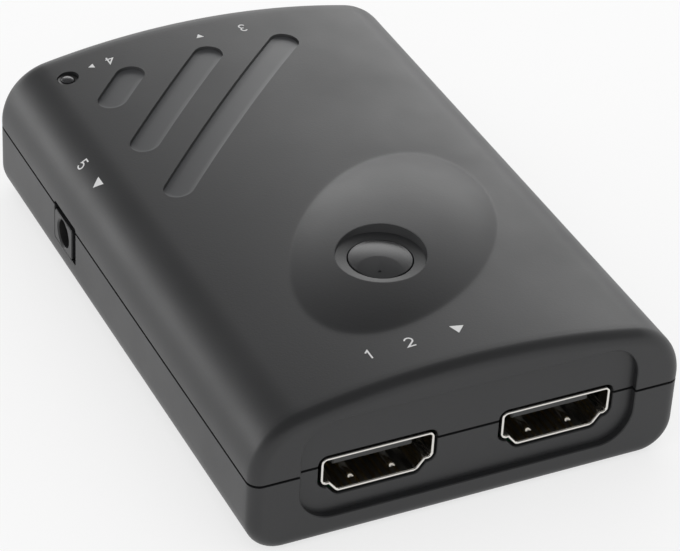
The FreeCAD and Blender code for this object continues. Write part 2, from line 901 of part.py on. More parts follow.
def make_socket(socket, above, below, tongue_width, tongue_drop):
    name = socket.name
    tongue_top = f"(socket_top - {tongue_drop})"
    tongue_low = f"({tongue_top} - tongue_thickness)"
    stagger = "contact_pitch/4" if above == below else "0"
    underside = f"{tongue_low} - contact_thickness"
    rows = [
        contact_row(socket, name + "_upper", above, tongue_top, f"-{stagger}"),
        contact_row(socket, name + "_lower", below, underside, stagger),
    ]
    contacts = group(name + "_contacts", rows)
    tongue = box(
        name + "_tongue",
        (f"{socket.centre} - {tongue_width}/2", f"{socket.centre} + {tongue_width}/2"),
        socket.span("tongue_setback", "socket_depth"),
        (tongue_low, tongue_top),
    )
    insert = socket.tube(name + "_insert", ["0"], "socket_depth - insert_length", "socket_depth")
    insulator = cut(name + "_insulator", fuse(name + "_moulding", tongue, insert), contacts)
    tube = socket.tube(name + "_tube", ["socket_sheet", "0"], "0", "socket_depth")
    pieces = [tube] + socket_legs(socket) + socket_latches(socket)
    finish(fuse(name + "_shell", *pieces), name + "_shell")
    finish(insulator, name + "_insulator")
    finish(contacts, name + "_contacts")


def leg_sides(socket):
    """The two X ranges of a socket's legs, in line with its upright walls."""
    width = "input_width" if socket is INPUT else "output_width"
    inner, outer = f"({width}/2)", f"({width}/2 + socket_sheet)"
    right = (f"{socket.centre} + {inner}", f"{socket.centre} + {outer}")
    left = (f"{socket.centre} - {outer}", f"{socket.centre} - {inner}")
    return left, right


def socket_legs(socket):
    """Four tabs that run down from the upright walls through the board."""
    return [
        box(
            f"{socket.name}_leg_{index}{number}",
            side,
            socket.span(f"{depth} - leg_width/2", f"{depth} + leg_width/2"),
            ("board_bottom - tail_length", "socket_top - output_side/2"),
        )
        for index, side in enumerate(leg_sides(socket), start=1)
        for number, depth in enumerate(("front_leg_depth", "back_leg_depth"), start=1)
    ]


def socket_latches(socket):
    """Two sprung bumps on the floor of the socket, pressed from its own sheet."""
    floor = "(socket_top - input_height)" if socket is INPUT else "(socket_top - output_height)"
    middle = "(latch_depth + latch_length/3)"
    corners = [
        (socket.at("latch_depth"), f"{floor} - socket_sheet/2"),
        (socket.at("latch_depth"), floor),
        (socket.at(middle), f"{floor} + latch_rise"),
        (socket.at("latch_depth + latch_length"), floor),
        (socket.at("latch_depth + latch_length"), f"{floor} - socket_sheet/2"),
    ]
    return [
        prism(
            f"{socket.name}_latch_{index}", "YZ_Plane", [corners], "latch_width",
            (f"{socket.centre} {sign} latch_spread/2", "0", "0"),
        )
        for index, sign in enumerate("-+", start=1)
    ]


# Power jack

def make_jack():
    """A barrel jack lying on the board, with its mouth in the left wall."""
    x = (f"-{SIDE}", JACK_END)
    y = (f"{JACK_Y} - jack_width/2", f"{JACK_Y} + jack_width/2")
    block = box("jack_block", x, y, (BOARD_TOP, f"{BOARD_TOP} + jack_height"))
    bore = lying_cylinder(
        "jack_bore", (f"-{SIDE} - 1", f"-{SIDE} + jack_bore_depth"), JACK_Y, JACK_AXIS,
        "jack_bore_radius",
    )
    pin_rod = lying_cylinder(
        "jack_pin_rod", (f"-{SIDE} + jack_pin_setback", f"{JACK_END} + jack_pin_stub"), JACK_Y,
        JACK_AXIS, "jack_pin_radius",
    )
    tail_y = (f"{JACK_Y} - jack_tail_width/2", f"{JACK_Y} + jack_tail_width/2")
    pin_tail = box(
        "jack_pin_tail", (JACK_END, f"{JACK_END} + jack_tail_thickness"), tail_y,
        ("board_bottom - tail_length", f"{JACK_AXIS} + jack_pin_radius"),
    )
    floor = f"({JACK_AXIS} - jack_bore_radius)"
    leaf_y = (f"{JACK_Y} - jack_spring_width/2", f"{JACK_Y} + jack_spring_width/2")
    leaf_x = (f"-{SIDE} + jack_spring_setback", f"-{SIDE} + jack_bore_depth")
    leaf = box("jack_leaf", leaf_x, leaf_y, (floor, f"{floor} + jack_spring_thickness"))
    leaf_tail = box(
        "jack_leaf_tail",
        (f"-{SIDE} + jack_bore_depth - jack_tail_thickness", f"-{SIDE} + jack_bore_depth"),
        leaf_y,
        ("board_bottom - tail_length", f"{floor} + jack_spring_thickness"),
    )
    pin = fuse("dc_jack_pin", pin_rod, pin_tail)
    spring = fuse("dc_jack_spring", leaf, leaf_tail)
    finish(cut("dc_jack_body", block, fuse("jack_hollow", bore, pin, spring)), "dc_jack_body")
    finish(pin, "dc_jack_pin")
    finish(spring, "dc_jack_spring")


# Button and the push switch below it

def make_button():
    """A crowned cap with a thumb dimple, a stop flange and a stem down to the switch."""
    flange_top = "(guide_bottom - stop_gap)"
    flange_low = f"({flange_top} - button_flange_thickness)"
    post = cylinder("cap_post", BUTTON_X, BUTTON_Y, "button_radius", (flange_low, "button_top"))
    ball_radius = "((button_radius*button_radius + button_crown*button_crown)/(2*button_crown))"
    ball = sphere("cap_ball", BUTTON_X, BUTTON_Y, f"button_top - {ball_radius}", ball_radius)
    dimple = sphere(
        "cap_dimple", BUTTON_X, BUTTON_Y,
        "button_top - button_dimple_depth + button_dimple_radius", "button_dimple_radius",
    )
    flange = cylinder(
        "cap_flange", BUTTON_X, BUTTON_Y, "button_flange_radius", (flange_low, flange_top)
    )
    stem = cylinder("cap_stem", BUTTON_X, BUTTON_Y, "button_stem_radius", (PLUNGER_TOP, flange_low))
    head = cut("cap_head", common("cap_crown", post, ball), dimple)
    finish(fuse("button_cap", head, flange, stem), "button_cap")


def make_switch():
    """Housing, cover plate, plunger, snap disc and four legs of the push switch."""
    housing_top = f"({BOARD_TOP} + switch_height)"
    well_floor = f"({housing_top} - switch_well_depth)"
    width = "switch_width"
    block = centred_box(
        "switch_block", BUTTON_X, BUTTON_Y, width, width, (BOARD_TOP, housing_top)
    )
    well = cylinder(
        "switch_well", BUTTON_X, BUTTON_Y, "switch_well_radius", (well_floor, housing_top)
    )
    plate = centred_box(
        "cover_plate", BUTTON_X, BUTTON_Y, width, width, (housing_top, SWITCH_TOP)
    )
    hole = cylinder(
        "cover_hole", BUTTON_X, BUTTON_Y, "plunger_radius + plunger_gap",
        (f"{housing_top} - 1", f"{SWITCH_TOP} + 1"),
    )
    collar_top = f"({housing_top} - stop_gap)"
    collar_low = f"({well_floor} + {SNAP_HEIGHT} + stop_gap)"
    collar = cylinder(
        "plunger_collar", BUTTON_X, BUTTON_Y, "plunger_collar_radius", (collar_low, collar_top)
    )
    rod = cylinder("plunger_rod", BUTTON_X, BUTTON_Y, "plunger_radius", (collar_low, PLUNGER_TOP))
    ball_radius = f"((snap_radius*snap_radius + {SNAP_HEIGHT}*{SNAP_HEIGHT})/(2*{SNAP_HEIGHT}))"
    ball_z = f"({well_floor} + {SNAP_HEIGHT} - {ball_radius})"
    snap_x = (f"{BUTTON_X} - snap_radius - 1", f"{BUTTON_X} + snap_radius + 1")
    snap_y = (f"{BUTTON_Y} - snap_radius - 1", f"{BUTTON_Y} + snap_radius + 1")
    above = box("snap_space", snap_x, snap_y, (well_floor, housing_top))
    outer = sphere("snap_outer", BUTTON_X, BUTTON_Y, ball_z, ball_radius)
    inner = sphere("snap_inner", BUTTON_X, BUTTON_Y, ball_z, f"{ball_radius} - snap_thickness")
    legs = []
    for side, direction in (("left", "-"), ("right", "+")):
        for end, along in (("front", "-"), ("back", "+")):
            near = f"{BUTTON_X} {direction} {width}/2"
            far = f"{near} {direction} switch_leg_thickness"
            x = (near, far) if direction == "+" else (far, near)
            middle = f"{BUTTON_Y} {along} switch_leg_spread/2"
            y = (f"{middle} - switch_leg_width/2", f"{middle} + switch_leg_width/2")
            z = ("board_bottom - tail_length", f"{BOARD_TOP} + switch_height/3")
            legs.append(box(f"switch_leg_{side}_{end}", x, y, z))
    finish(cut("switch_housing", block, well), "switch_housing")
    finish(cut("switch_cover", plate, hole), "switch_cover")
    finish(fuse("switch_plunger", collar, rod), "switch_plunger")
    shell = cut("snap_sheet", outer, inner)
    finish(common("switch_snap_disc", shell, above), "switch_snap_disc")
    finish(group("switch_legs", legs), "switch_legs")
    return legs


# Power light

def make_light():
    """A round lamp that stands on two long leads, its tip just proud of the lid."""
    low = "(light_top - light_length)"
    rod = cylinder("lamp_rod", LIGHT_X, LIGHT_Y, "light_radius", (low, "light_top - light_radius/2"))
    tip = sphere("lamp_tip", LIGHT_X, LIGHT_Y, "light_top - light_radius", "light_radius")
    flange = cylinder(
        "lamp_flange", LIGHT_X, LIGHT_Y, "light_flange_radius",
        (low, f"{low} + light_flange_thickness"),
    )
    cap = cylinder("lamp_cap", LIGHT_X, LIGHT_Y, "light_radius", (low, "light_top"))
    lamp = common("lamp_round", cap, fuse("lamp_parts", rod, tip))
    finish(fuse("power_light", lamp, flange), "power_light")
    leads = []
    for index, sign in enumerate("-+", start=1):
        x = f"({LIGHT_X} {sign} light_lead_pitch/2)"
        leads.append(centred_box(
            f"light_lead_{index}", x, LIGHT_Y, "light_lead_width", "light_lead_width",
            ("board_bottom - tail_length", low),
        ))
    finish(group("power_light_leads", leads), "power_light_leads")
    return leads


# Circuit board with its slots

def slot_around(item, index):
    """A slot through the board around an upright block, with a small gap."""
    (left, right), (near, far) = footprints[item.Name]
    return box(
        f"board_slot_{index}",
        (f"{left} - slot_gap", f"{right} + slot_gap"),
        (f"{near} - slot_gap", f"{far} + slot_gap"),
        ("board_bottom - 1", f"{BOARD_TOP} + 1"),
    )


def make_board(tails):
    side = f"({INSIDE} - board_gap)"
    end = f"({BACK} - wall - board_gap)"
    plate = rounded_block(
        "board_plate", (f"-{side}", side), (f"-{end}", end), ("board_bottom", BOARD_TOP), "board_corner", 2
    )
    holes = at_screws("board_hole", "screw_radius + screw_hole_gap", ("0", f"{BOARD_TOP} + 1"))
    slots = [slot_around(tail, index) for index, tail in enumerate(tails, start=1)]
    board = cut("circuit_board", plate, fuse("board_holes", *holes, *slots))
    finish(board, "circuit_board")


# Parts soldered to the board

def chip(name, x, y, length, width, height):
    return centred_box(name, x, y, length, width, (BOARD_TOP, f"{BOARD_TOP} + {height}"))


def chip_grid(name, size, corner, steps, counts):
    """A grid of equal small parts on the board, as one group."""
    chips = []
    for column in range(counts[0]):
        for row in range(counts[1]):
            x = f"({corner[0]} + {column}*{steps[0]})"
            y = f"({corner[1]} + {row}*{steps[1]})"
            chips.append(chip(f"{name}_{column}_{row}", x, y, *size))
    return chips


def make_board_parts():
    hub_y = f"({FRONT} + hub_from_front)"
    finish(chip("hub", "hub_side", hub_y, "hub_width", "hub_width", "hub_height"), "splitter_chip")
    driver_y = f"({FRONT} + driver_from_front)"
    drivers = [
        chip(name + "_driver", centre, driver_y, "driver_width", "driver_width", "driver_height")
        for name, centre in OUTPUTS.items()
    ]
    finish(group("driver_group", drivers), "output_driver_chips")
    make_memory()
    crystal_y = f"({FRONT} + crystal_from_front)"
    finish(
        chip("crystal", "crystal_side", crystal_y,
             "crystal_length", "crystal_width", "crystal_height"),
        "clock_crystal",
    )
    can_x = f"(-{SIDE} + can_from_side)"
    coil_x = f"({JACK_END} + coil_from_jack)"
    regulator_x = f"({JACK_END} + regulator_from_jack)"
    coils, regulators, cans, bases = [], [], [], []
    for index in range(2):
        coil_y = f"({JACK_Y} - coil_before_jack + {index}*coil_step)"
        can_y = f"({JACK_Y} - can_before_jack + {index}*can_step)"
        coils.append(chip(f"coil_{index}", coil_x, coil_y,
                          "coil_width", "coil_width", "coil_height"))
        regulators.append(chip(f"regulator_{index}", regulator_x, coil_y,
                               "regulator_width", "regulator_length", "regulator_height"))
        base_top = f"({BOARD_TOP} + can_base_height)"
        bases.append(chip(f"can_base_{index}", can_x, can_y,
                          "can_base", "can_base", "can_base_height"))
        cans.append(cylinder(f"can_{index}", can_x, can_y, "can_radius",
                             (base_top, f"{base_top} + can_height")))
    finish(group("coil_group", coils), "supply_inductors")
    finish(group("regulator_group", regulators), "regulator_chips")
    finish(group("base_group", bases), "bulk_capacitor_bases")
    finish(group("can_group", cans), "bulk_capacitor_cans")
    make_small_parts(hub_y, driver_y)


def make_memory():
    """The program memory, with four pins on each long side."""
    memory_x = f"({SIDE} - memory_from_side)"
    memory_y = f"({FRONT} + memory_from_front)"
    body = centred_box(
        "memory", memory_x, memory_y, "memory_width", "memory_length",
        (f"{BOARD_TOP} + pin_thickness", f"{BOARD_TOP} + pin_thickness + memory_height"),
    )
    pins = []
    for sign in "-+":
        for index in range(4):
            edge = f"{memory_x} {sign} memory_width/2"
            far = f"{edge} {sign} pin_length"
            near = f"{edge} {'+' if sign == '-' else '-'} pin_length/2"
            x = (far, near) if sign == "-" else (near, far)
            middle = f"({memory_y} + ({index} - 1.5)*pin_pitch)"
            y = (f"{middle} - pin_width/2", f"{middle} + pin_width/2")
            name = f"memory_pin_{'left' if sign == '-' else 'right'}_{index}"
            pins.append(box(name, x, y, (BOARD_TOP, f"{BOARD_TOP} + pin_thickness")))
    finish(body, "memory_chip")
    finish(group("memory_pin_group", pins), "memory_chip_pins")


def make_small_parts(hub_y, driver_y):
    """Chip capacitors and resistors in rows, line protection, fuse and diode."""
    cap = ("chip_cap_length", "chip_cap_width", "chip_cap_height")
    resistor = ("chip_cap_length", "chip_cap_width", "chip_resistor_height")
    array = ("array_length", "array_width", "array_height")
    step = ("0", "chip_cap_step")
    caps = []
    for name, sign in (("near_cap", "-"), ("far_cap", "+")):
        beside = f"(hub_side {sign} (hub_width/2 + chip_cap_from_hub))"
        caps += chip_grid(name, cap, (beside, f"{hub_y} - 2.5*chip_cap_step"), step, (1, 6))
    caps += chip_grid(
        "input_cap", cap, ("-1.5*input_cap_step", f"{BACK} - input_cap_from_back"),
        ("input_cap_step", "chip_cap_step"), (4, 2),
    )
    resistors, arrays = [], []
    both_sides = ("chip_resistor_step", "(-2*array_row)")
    for name, centre in OUTPUTS.items():
        row_y = f"({driver_y} - driver_width/2 - chip_resistor_row)"
        first = f"{centre} - chip_resistor_step"
        resistors += chip_grid(name + "_resistor", resistor, (first, row_y), both_sides, (3, 2))
        arrays += chip_grid(name + "_array", array, (f"{centre} - array_step", f"{row_y} - array_row"),
                            ("array_step", "0"), (3, 1))
    first = "hub_side - 1.5*chip_resistor_step"
    row_y = f"({hub_y} - hub_width/2 - chip_resistor_row)"
    resistors += chip_grid("hub_resistor", resistor, (first, row_y),
                           ("chip_resistor_step", "0"), (4, 1))
    finish(group("cap_group", caps), "ceramic_capacitors")
    finish(group("resistor_group", resistors), "chip_resistors")
    finish(group("array_group", arrays), "line_protection_arrays")
    finish(
        chip("fuse", f"({JACK_END} + fuse_from_jack)", f"({JACK_Y} + fuse_past_jack)",
             "fuse_length", "fuse_width", "fuse_height"),
        "input_fuse",
    )
    finish(
        chip("diode", f"({JACK_END} + diode_from_jack)", f"({JACK_Y} + diode_past_jack)",
             "diode_length", "diode_width", "diode_height"),
        "polarity_diode",
    )


# The whole splitter

make_top_shell()
make_bottom_shell()
make_screws()
for socket in SOCKETS:
    make_socket(socket, OUTPUT_UPPER_COUNT, OUTPUT_LOWER_COUNT,
                "output_tongue_width", "output_tongue_drop")
make_socket(INPUT, INPUT_ROW_COUNT, INPUT_ROW_COUNT, "input_tongue_width", "input_tongue_drop")
make_jack()
make_button()
switch_legs = make_switch()
light_leads = make_light()
socket_tails = [
    item for item in doc.Objects
    if item.TypeId == "Part::Box" and re.fullmatch(r"(output_one|output_two|input)_leg_\d+", item.Name)
]
jack_tails = [doc.getObject("jack_pin_tail"), doc.getObject("jack_leaf_tail")]
make_board(socket_tails + switch_legs + light_leads + jack_tails)
make_board_parts()
doc.recompute()

# Checks, then one file for each piece

for item in doc.Objects:
    if "Invalid" in item.State or "Error" in item.State:
        raise RuntimeError(f"{item.Label} did not compute: {item.State}")
for item in finished:
    if item.Shape.isNull() or not item.Shape.isValid() or not item.Shape.Solids:
        raise RuntimeError(f"{item.Label} has no valid solid")

os.makedirs("parts", exist_ok=True)
for item in finished:
    item.Shape.exportStep(f"parts/{item.Label}.step")
    bounds = item.Shape.BoundBox
    print(
        f"{item.Label}: {len(item.Shape.Solids)} solids, {item.Shape.Volume:.1f} mm3, "
        f"x {bounds.XMin:.2f} {bounds.XMax:.2f}, y {bounds.YMin:.2f} {bounds.YMax:.2f}, "
        f"z {bounds.ZMin:.2f} {bounds.ZMax:.2f}"
    )
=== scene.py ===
"""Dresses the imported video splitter: casing, button, sockets, marks, finishes and stage."""

import math
from types import SimpleNamespace

import bmesh
import bpy
import numpy as np
from bpy.props import FloatProperty, FloatVectorProperty, IntProperty, PointerProperty
from mathutils import Matrix, Vector
from mathutils.geometry import delaunay_2d_cdt


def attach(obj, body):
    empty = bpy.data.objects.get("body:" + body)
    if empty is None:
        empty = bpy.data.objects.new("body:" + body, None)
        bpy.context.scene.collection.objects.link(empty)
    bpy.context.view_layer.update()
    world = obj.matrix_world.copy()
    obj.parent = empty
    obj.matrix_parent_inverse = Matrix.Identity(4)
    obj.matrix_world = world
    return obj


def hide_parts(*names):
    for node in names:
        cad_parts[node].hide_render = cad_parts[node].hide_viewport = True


bl_info = {
    "name": "Video Splitter Dressing",
    "version": (1, 0, 0),
    "blender": (4, 5, 0),
    "location": "3D View > Sidebar > Splitter",
    "description": "Casing, button, sockets, marks, finishes and stage of a video splitter",
    "category": "Object",
}

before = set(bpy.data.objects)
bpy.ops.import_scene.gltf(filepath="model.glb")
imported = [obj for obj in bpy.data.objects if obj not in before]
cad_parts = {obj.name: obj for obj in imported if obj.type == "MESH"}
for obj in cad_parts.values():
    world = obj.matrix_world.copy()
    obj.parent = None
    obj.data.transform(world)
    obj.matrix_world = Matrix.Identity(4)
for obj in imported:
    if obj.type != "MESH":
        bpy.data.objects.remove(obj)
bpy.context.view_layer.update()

MM = 0.001
AROUND = 96
X, Y, Z = range(3)

# Level directions in the photo: away from the camera and to its right
AWAY = Vector((0.457, 0.889, 0))
RIGHT = Vector((0.889, -0.457, 0))

# Axes of the four case screws and top of the circuit board, in millimetres
SCREW_ACROSS = 23.2
SCREW_ROWS = (-36.3, 28.0)
BOARD_TOP = 5.3


# Settings that a user may change

def length(name, millimetres, description):
    return FloatProperty(
        name=name, description=description, default=millimetres * MM, unit="LENGTH", precision=5
    )


def colour(name, value, description):
    return FloatVectorProperty(
        name=name, description=description, default=value, size=3, subtype="COLOR", min=0, max=1
    )


class SplitterCasing(bpy.types.PropertyGroup):
    """Sizes of the two casing halves and of what is sunk into the lid."""

    width: length("Width", 56.9, "Across the two side walls")
    depth: length("Depth", 84.8, "From the output end to the input end")
    crown_height: length("Crown height", 21.2, "Height of the lid along its middle")
    crown_fall: length("Crown fall", 2.1, "How far the lid falls from its middle to the shoulders")
    shoulder: length("Shoulder radius", 8.0, "Rounding of the long upper edges")
    foot: length("Foot radius", 4.5, "Rounding of the long lower edges")
    front_round: length("Front rounding", 1.6, "Rounding of the rim at the output end")
    back_round: length("Back rounding", 2.5, "Rounding of the rim at the input end")
    wall: length("Wall", 2.0, "Thickness of the casing")
    parting: length("Parting height", 10.4, "Height of the line between the two halves")
    groove: length("Parting groove", 0.36, "Width of the gap between the two halves")
    panel_side: length("Panel half width", 22.2, "Half the width of the sunk end panels")
    panel_low: length("Panel bottom", 3.3, "Lower edge of the sunk end panels")
    panel_high: length("Panel top", 17.5, "Upper edge of the sunk end panels")
    panel_depth: length("Panel depth", 0.88, "How far the end panels are sunk")
    panel_corner: length("Panel corner", 4.5, "Corner radius of the end panels")
    dome_x: length("Dome across", 1.45, "Middle of the oval dome across the lid")
    dome_y: length("Dome along", -16.26, "Middle of the oval dome along the lid")
    dome_rise: length("Dome rise", 1.9, "How far the dome stands above the lid")
    dome_high: length("Dome ball height", 8.0, "Upright half axis of the dome's ball")
    dome_long: length("Dome long half axis", 27.77, "Long half axis of the dome's ball")
    dome_short: length("Dome short half axis", 16.82, "Short half axis of the dome's ball")
    dome_turn: FloatProperty(
        name="Dome turn", description="Turn of the dome's long axis from across the lid",
        default=math.radians(58), subtype="ANGLE",
    )
    slot_radius: length("Grip slot radius", 2.0, "Half the width of the grip slots")
    slot_depth: length("Grip slot depth", 0.5, "How far the grip slots are sunk")
    slot_wall: length("Grip slot wall", 0.12, "Width of the steep wall of the grip slots")
    slot_hollow: length("Grip slot hollow", 0.9, "Width of the hollow inside that wall")


class SplitterButton(bpy.types.PropertyGroup):
    """Sizes of the push button, the finger well around it and the power light."""

    x: length("Across", -2.25, "Axis of the button across the lid")
    y: length("Along", -20.65, "Axis of the button along the lid")
    radius: length("Radius", 3.95, "Radius of the button cap")
    gap: length("Gap", 0.12, "Gap around the button cap")
    top: length("Top", 22.3, "Top of the ball that crowns the cap")
    crown: length("Crown", 0.35, "How far the cap falls from its top to its edge")
    facet: length(
        "Facet radius", 2.8, "Radius of the flat facet that slopes down to the front left"
    )
    facet_shift: length("Facet shift", 2.79, "How far the facet's middle lies from the cap's axis")
    well_low: length("Well bottom", 21.85, "Height of the well's floor at the button")
    well_width: length("Well floor width", 1.34, "Width of the well's sloping floor")
    well_rise: length("Well floor rise", 0.21, "How far the well's floor rises outwards")
    light_x: length("Light across", -20.85, "Axis of the power light across the lid")
    light_y: length("Light along", 35.55, "Axis of the power light along the lid")
    light_radius: length("Light radius", 0.88, "Radius of the power light's lens")
    light_ring: length("Light ring", 1.4, "Outer radius of the black ring around the lens")
    light_top: length("Light top", 19.2, "Top of the power light's lens")


class SplitterSockets(bpy.types.PropertyGroup):
    """Sizes of the output sockets, the input socket and the power jack."""

    output_x: length("Output distance", 11.83, "Distance of each output from the middle")
    top: length("Socket top", 11.0, "Upper edge of the socket openings")
    sheet: length("Sheet", 0.37, "Thickness of the plated sheet")
    gap: length("Gap", 0.38, "Gap between the sheet and the casing")
    reach: length("Depth", 11.2, "Depth of the sockets")
    corner: length("Corner", 0.45, "Inner corner radius of the sheet")
    pitch: length("Contact pitch", 1.0, "Distance between neighbouring contacts")
    contact: length("Contact width", 0.3, "Width of one contact")
    upper_count: IntProperty(name="Upper contacts", description="Upper row", default=10, min=1)
    lower_count: IntProperty(name="Lower contacts", description="Lower row", default=9, min=1)
    jack_y: length("Jack along", 17.6, "Axis of the power jack along the side")
    jack_z: length("Jack height", 7.5, "Axis of the power jack above the floor")
    jack_bore: length("Jack bore", 1.9, "Radius of the power jack's bore")


class SplitterMarks(bpy.types.PropertyGroup):
    """Size and colour of the plain numbers and arrows printed on the lid."""

    height: length("Height", 1.55, "Height of the numbers")
    stroke: length("Stroke", 0.2, "Width of the strokes")
    lift: length("Lift", 0.02, "Thickness of the print")
    ink: colour("Ink", (0.66, 0.66, 0.66), "Colour of the print")


class SplitterFinish(bpy.types.PropertyGroup):
    """Colours of the finishes and strength of the stage's light."""

    casing: colour("Casing", (0.018, 0.0184, 0.0195), "Moulded casing plastic")
    # The grip colour is the casing plastic made lighter as painted sheen on the smoother slot
    # floors
    grip: colour("Grip slots", (0.045, 0.046, 0.049), "Smoother floor of the grip slots")
    button: colour("Button", (0.018, 0.0184, 0.0195), "Satin button plastic")
    # The mouldings are black plastic, made darker still as painted shade inside the sockets
    moulding: colour("Mouldings", (0.006, 0.006, 0.0062), "Black mouldings of the sockets")
    nickel: colour("Nickel", (0.78, 0.75, 0.70), "Plated socket sheet")
    floor: colour("Floor", (0.95, 0.95, 0.95), "Pale studio floor")
    sky: FloatProperty(name="Room light", description="Plain room light", default=0.85, min=0)
    side_light: FloatProperty(
        name="Side light", description="Power of the back right softbox", default=0.9,
        min=0, unit="POWER",
    )
    fill_light: FloatProperty(
        name="Fill light", description="Power of the back left softbox", default=0.8,
        min=0, unit="POWER",
    )


GROUPS = {
    "splitter_casing": SplitterCasing,
    "splitter_button": SplitterButton,
    "splitter_sockets": SplitterSockets,
    "splitter_marks": SplitterMarks,
    "splitter_finish": SplitterFinish,
}


def measures(name):
    """The lengths of one group of settings in millimetres, and its other values as they are."""
    group = getattr(bpy.context.scene, name)
    values = {}
    for item in group.bl_rna.properties:
        if item.identifier in ("rna_type", "name"):
            continue
        value = getattr(group, item.identifier)
        if item.type == "FLOAT" and item.unit == "LENGTH":
            value = value / MM
        values[item.identifier] = value
    return SimpleNamespace(**values)


# Mesh tools, all in millimetres

class Form:
    """Points and faces of a piece that may have several closed parts."""

    def __init__(self):
        self.points = []
        self.faces = []

    def add(self, points, faces):
        start = len(self.points)
        self.points += [tuple(point) for point in points]
        self.faces += [tuple(start + index for index in face) for face in faces]
        return self

    def piece(self, name):
        mesh = bpy.data.meshes.new(name)
        mesh.from_pydata([tuple(c * MM for c in point) for point in self.points], [], self.faces)
        form = bmesh.new()
        form.from_mesh(mesh)
        bmesh.ops.remove_doubles(form, verts=form.verts, dist=1e-8)
        bmesh.ops.recalc_face_normals(form, faces=form.faces)
        form.to_mesh(mesh)
        form.free()
        item = bpy.data.objects.new(name, mesh)
        bpy.context.scene.collection.objects.link(item)
        return item


def loft(rings, loop=False):
    """A skin over rings of equal length, with two end faces or closed into a loop."""
    count = len(rings[0])
    points = [point for ring in rings for point in ring]
    faces = []
    for index in range(len(rings) if loop else len(rings) - 1):
        near, far = index * count, (index + 1) % len(rings) * count
        for step in range(count):
            after = (step + 1) % count
            faces.append((near + step, near + after, far + after, far + step))
    if not loop:
        faces += [tuple(range(count)), tuple(range(len(points) - count, len(points)))]
    return points, faces


def arc_points(x, y, radius, first, turn, steps, rise=None):
    """Points of an arc, which is oval where its rise differs from its radius."""
    angles = [first + turn * step / steps for step in range(steps + 1)]
    return [(x + radius * math.cos(a), y + (rise or radius) * math.sin(a)) for a in angles]


def circle(x, y, radius, steps=AROUND, rise=None):
    return arc_points(x, y, radius, 0, 2 * math.pi, steps, rise)[:-1]


def even(low, high, step):
    count = max(1, round((high - low) / step))
    return [low + (high - low) * index / count for index in range(count + 1)]


def both_sides(half):
    return sorted({value * side for value in half for side in (-1, 1)})


def stacked(outline, axis, *places):
    """Rings of a flat outline, one for each place along the axis that crosses it."""
    return [[(*point[:axis], place, *point[axis:]) for point in outline] for place in places]


def turned(x, y, profile, steps=AROUND):
    """Level rings about an upright axis, one for each radius and height."""
    return [stacked(circle(x, y, radius, steps), Z, z)[0] for radius, z in profile]


def lathe(profile, x, y):
    """A turned form about an upright axis, whose profile starts and ends on the axis."""
    points = [(x, y, profile[0][1])]
    for ring in turned(x, y, profile[1:-1]):
        points += ring
    points.append((x, y, profile[-1][1]))
    faces, last = [], len(points) - 1
    for step in range(AROUND):
        after = (step + 1) % AROUND
        faces.append((0, 1 + step, 1 + after))
        for row in range(len(profile) - 3):
            low, high = 1 + row * AROUND, 1 + (row + 1) * AROUND
            faces.append((low + step, high + step, high + after, low + after))
        top = 1 + (len(profile) - 3) * AROUND
        faces.append((top + step, last, top + after))
    return points, faces


def upright_tube(x, y, outer, inner, low, high, steps=48):
    profile = ((outer, low), (outer, high), (inner, high), (inner, low))
    return loft(turned(x, y, profile, steps), loop=True)


def rounded(corners, radii, steps=6):
    """A flat outline with each corner rounded, with the same number of points for any size."""
    outline = []
    for index, corner in enumerate(corners):
        here = Vector(corner)
        before = (Vector(corners[index - 1]) - here).normalized()
        after = (Vector(corners[(index + 1) % len(corners)]) - here).normalized()
        half = math.acos(max(-1, min(1, before.dot(after)))) / 2
        radius = radii[index] if isinstance(radii, (list, tuple)) else radii
        centre = here + (before + after).normalized() * radius / math.sin(half)
        reach = radius / math.tan(half)
        start, end = here + before * reach - centre, here + after * reach - centre
        first = math.atan2(start.y, start.x)
        turn = (math.atan2(end.y, end.x) - first + math.pi) % (2 * math.pi) - math.pi
        outline += arc_points(centre.x, centre.y, radius, first, turn, steps)
    return outline


def rectangle(left, right, low, high, radius, steps=6):
    corners = [(right, high), (left, high), (left, low), (right, low)]
    return rounded(corners, radius, steps)


def grown(sides, radius, axis, steps, corner=6, widen=False):
    """Rings of a rounded rectangle, one for each place along an axis and growth there."""
    left, right, low, high = sides
    rings = []
    for place, grow in steps:
        outline = rectangle(
            left - grow, right + grow, low - grow, high + grow,
            radius + grow if widen else radius, corner,
        )
        rings += stacked(outline, axis, place)
    return rings


def block(x, y, z, edge=0.1):
    """A box with softened edges."""
    half = edge / 2
    steps = ((z[0], -half), (z[0] + half, 0), (z[1] - half, 0), (z[1], -half))
    return loft(grown((*x, *y), edge, Z, steps, 3))


def solid(name, skin):
    return Form().add(*skin).piece(name)


def settle(item):
    """Leaves the object with the plain mesh that its modifiers make."""
    mesh = bpy.data.meshes.new_from_object(
        item.evaluated_get(bpy.context.evaluated_depsgraph_get())
    )
    old = item.data
    item.modifiers.clear()
    item.data = mesh
    bpy.data.meshes.remove(old)
    mesh.name = item.name


def carve(item, rings, operation="DIFFERENCE"):
    """Cuts the loft of the rings out of the piece, or adds it to the piece."""
    tool = solid("tool", loft(rings))
    modifier = item.modifiers.new("carve", "BOOLEAN")
    modifier.operation = operation
    modifier.solver = "MANIFOLD"
    modifier.object = tool
    settle(item)
    bpy.data.objects.remove(tool)


def join(item, *others):
    with bpy.context.temp_override(active_object=item, selected_editable_objects=[item, *others]):
        bpy.ops.object.join()


def dress(item, slot, *nodes, body="casing", look=None, sharp=30):
    """Gives a finished piece its shading, finish and body, and hides the CAD nodes it stands for.
    """
    item.data.materials.clear()
    item.data.materials.append(bpy.data.materials[look] if look else material_for(slot))
    item.data.shade_smooth()
    item.data.set_sharp_from_angle(angle=math.radians(sharp))
    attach(item, body)
    if nodes:
        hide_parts(*nodes)


# Shape of the lid

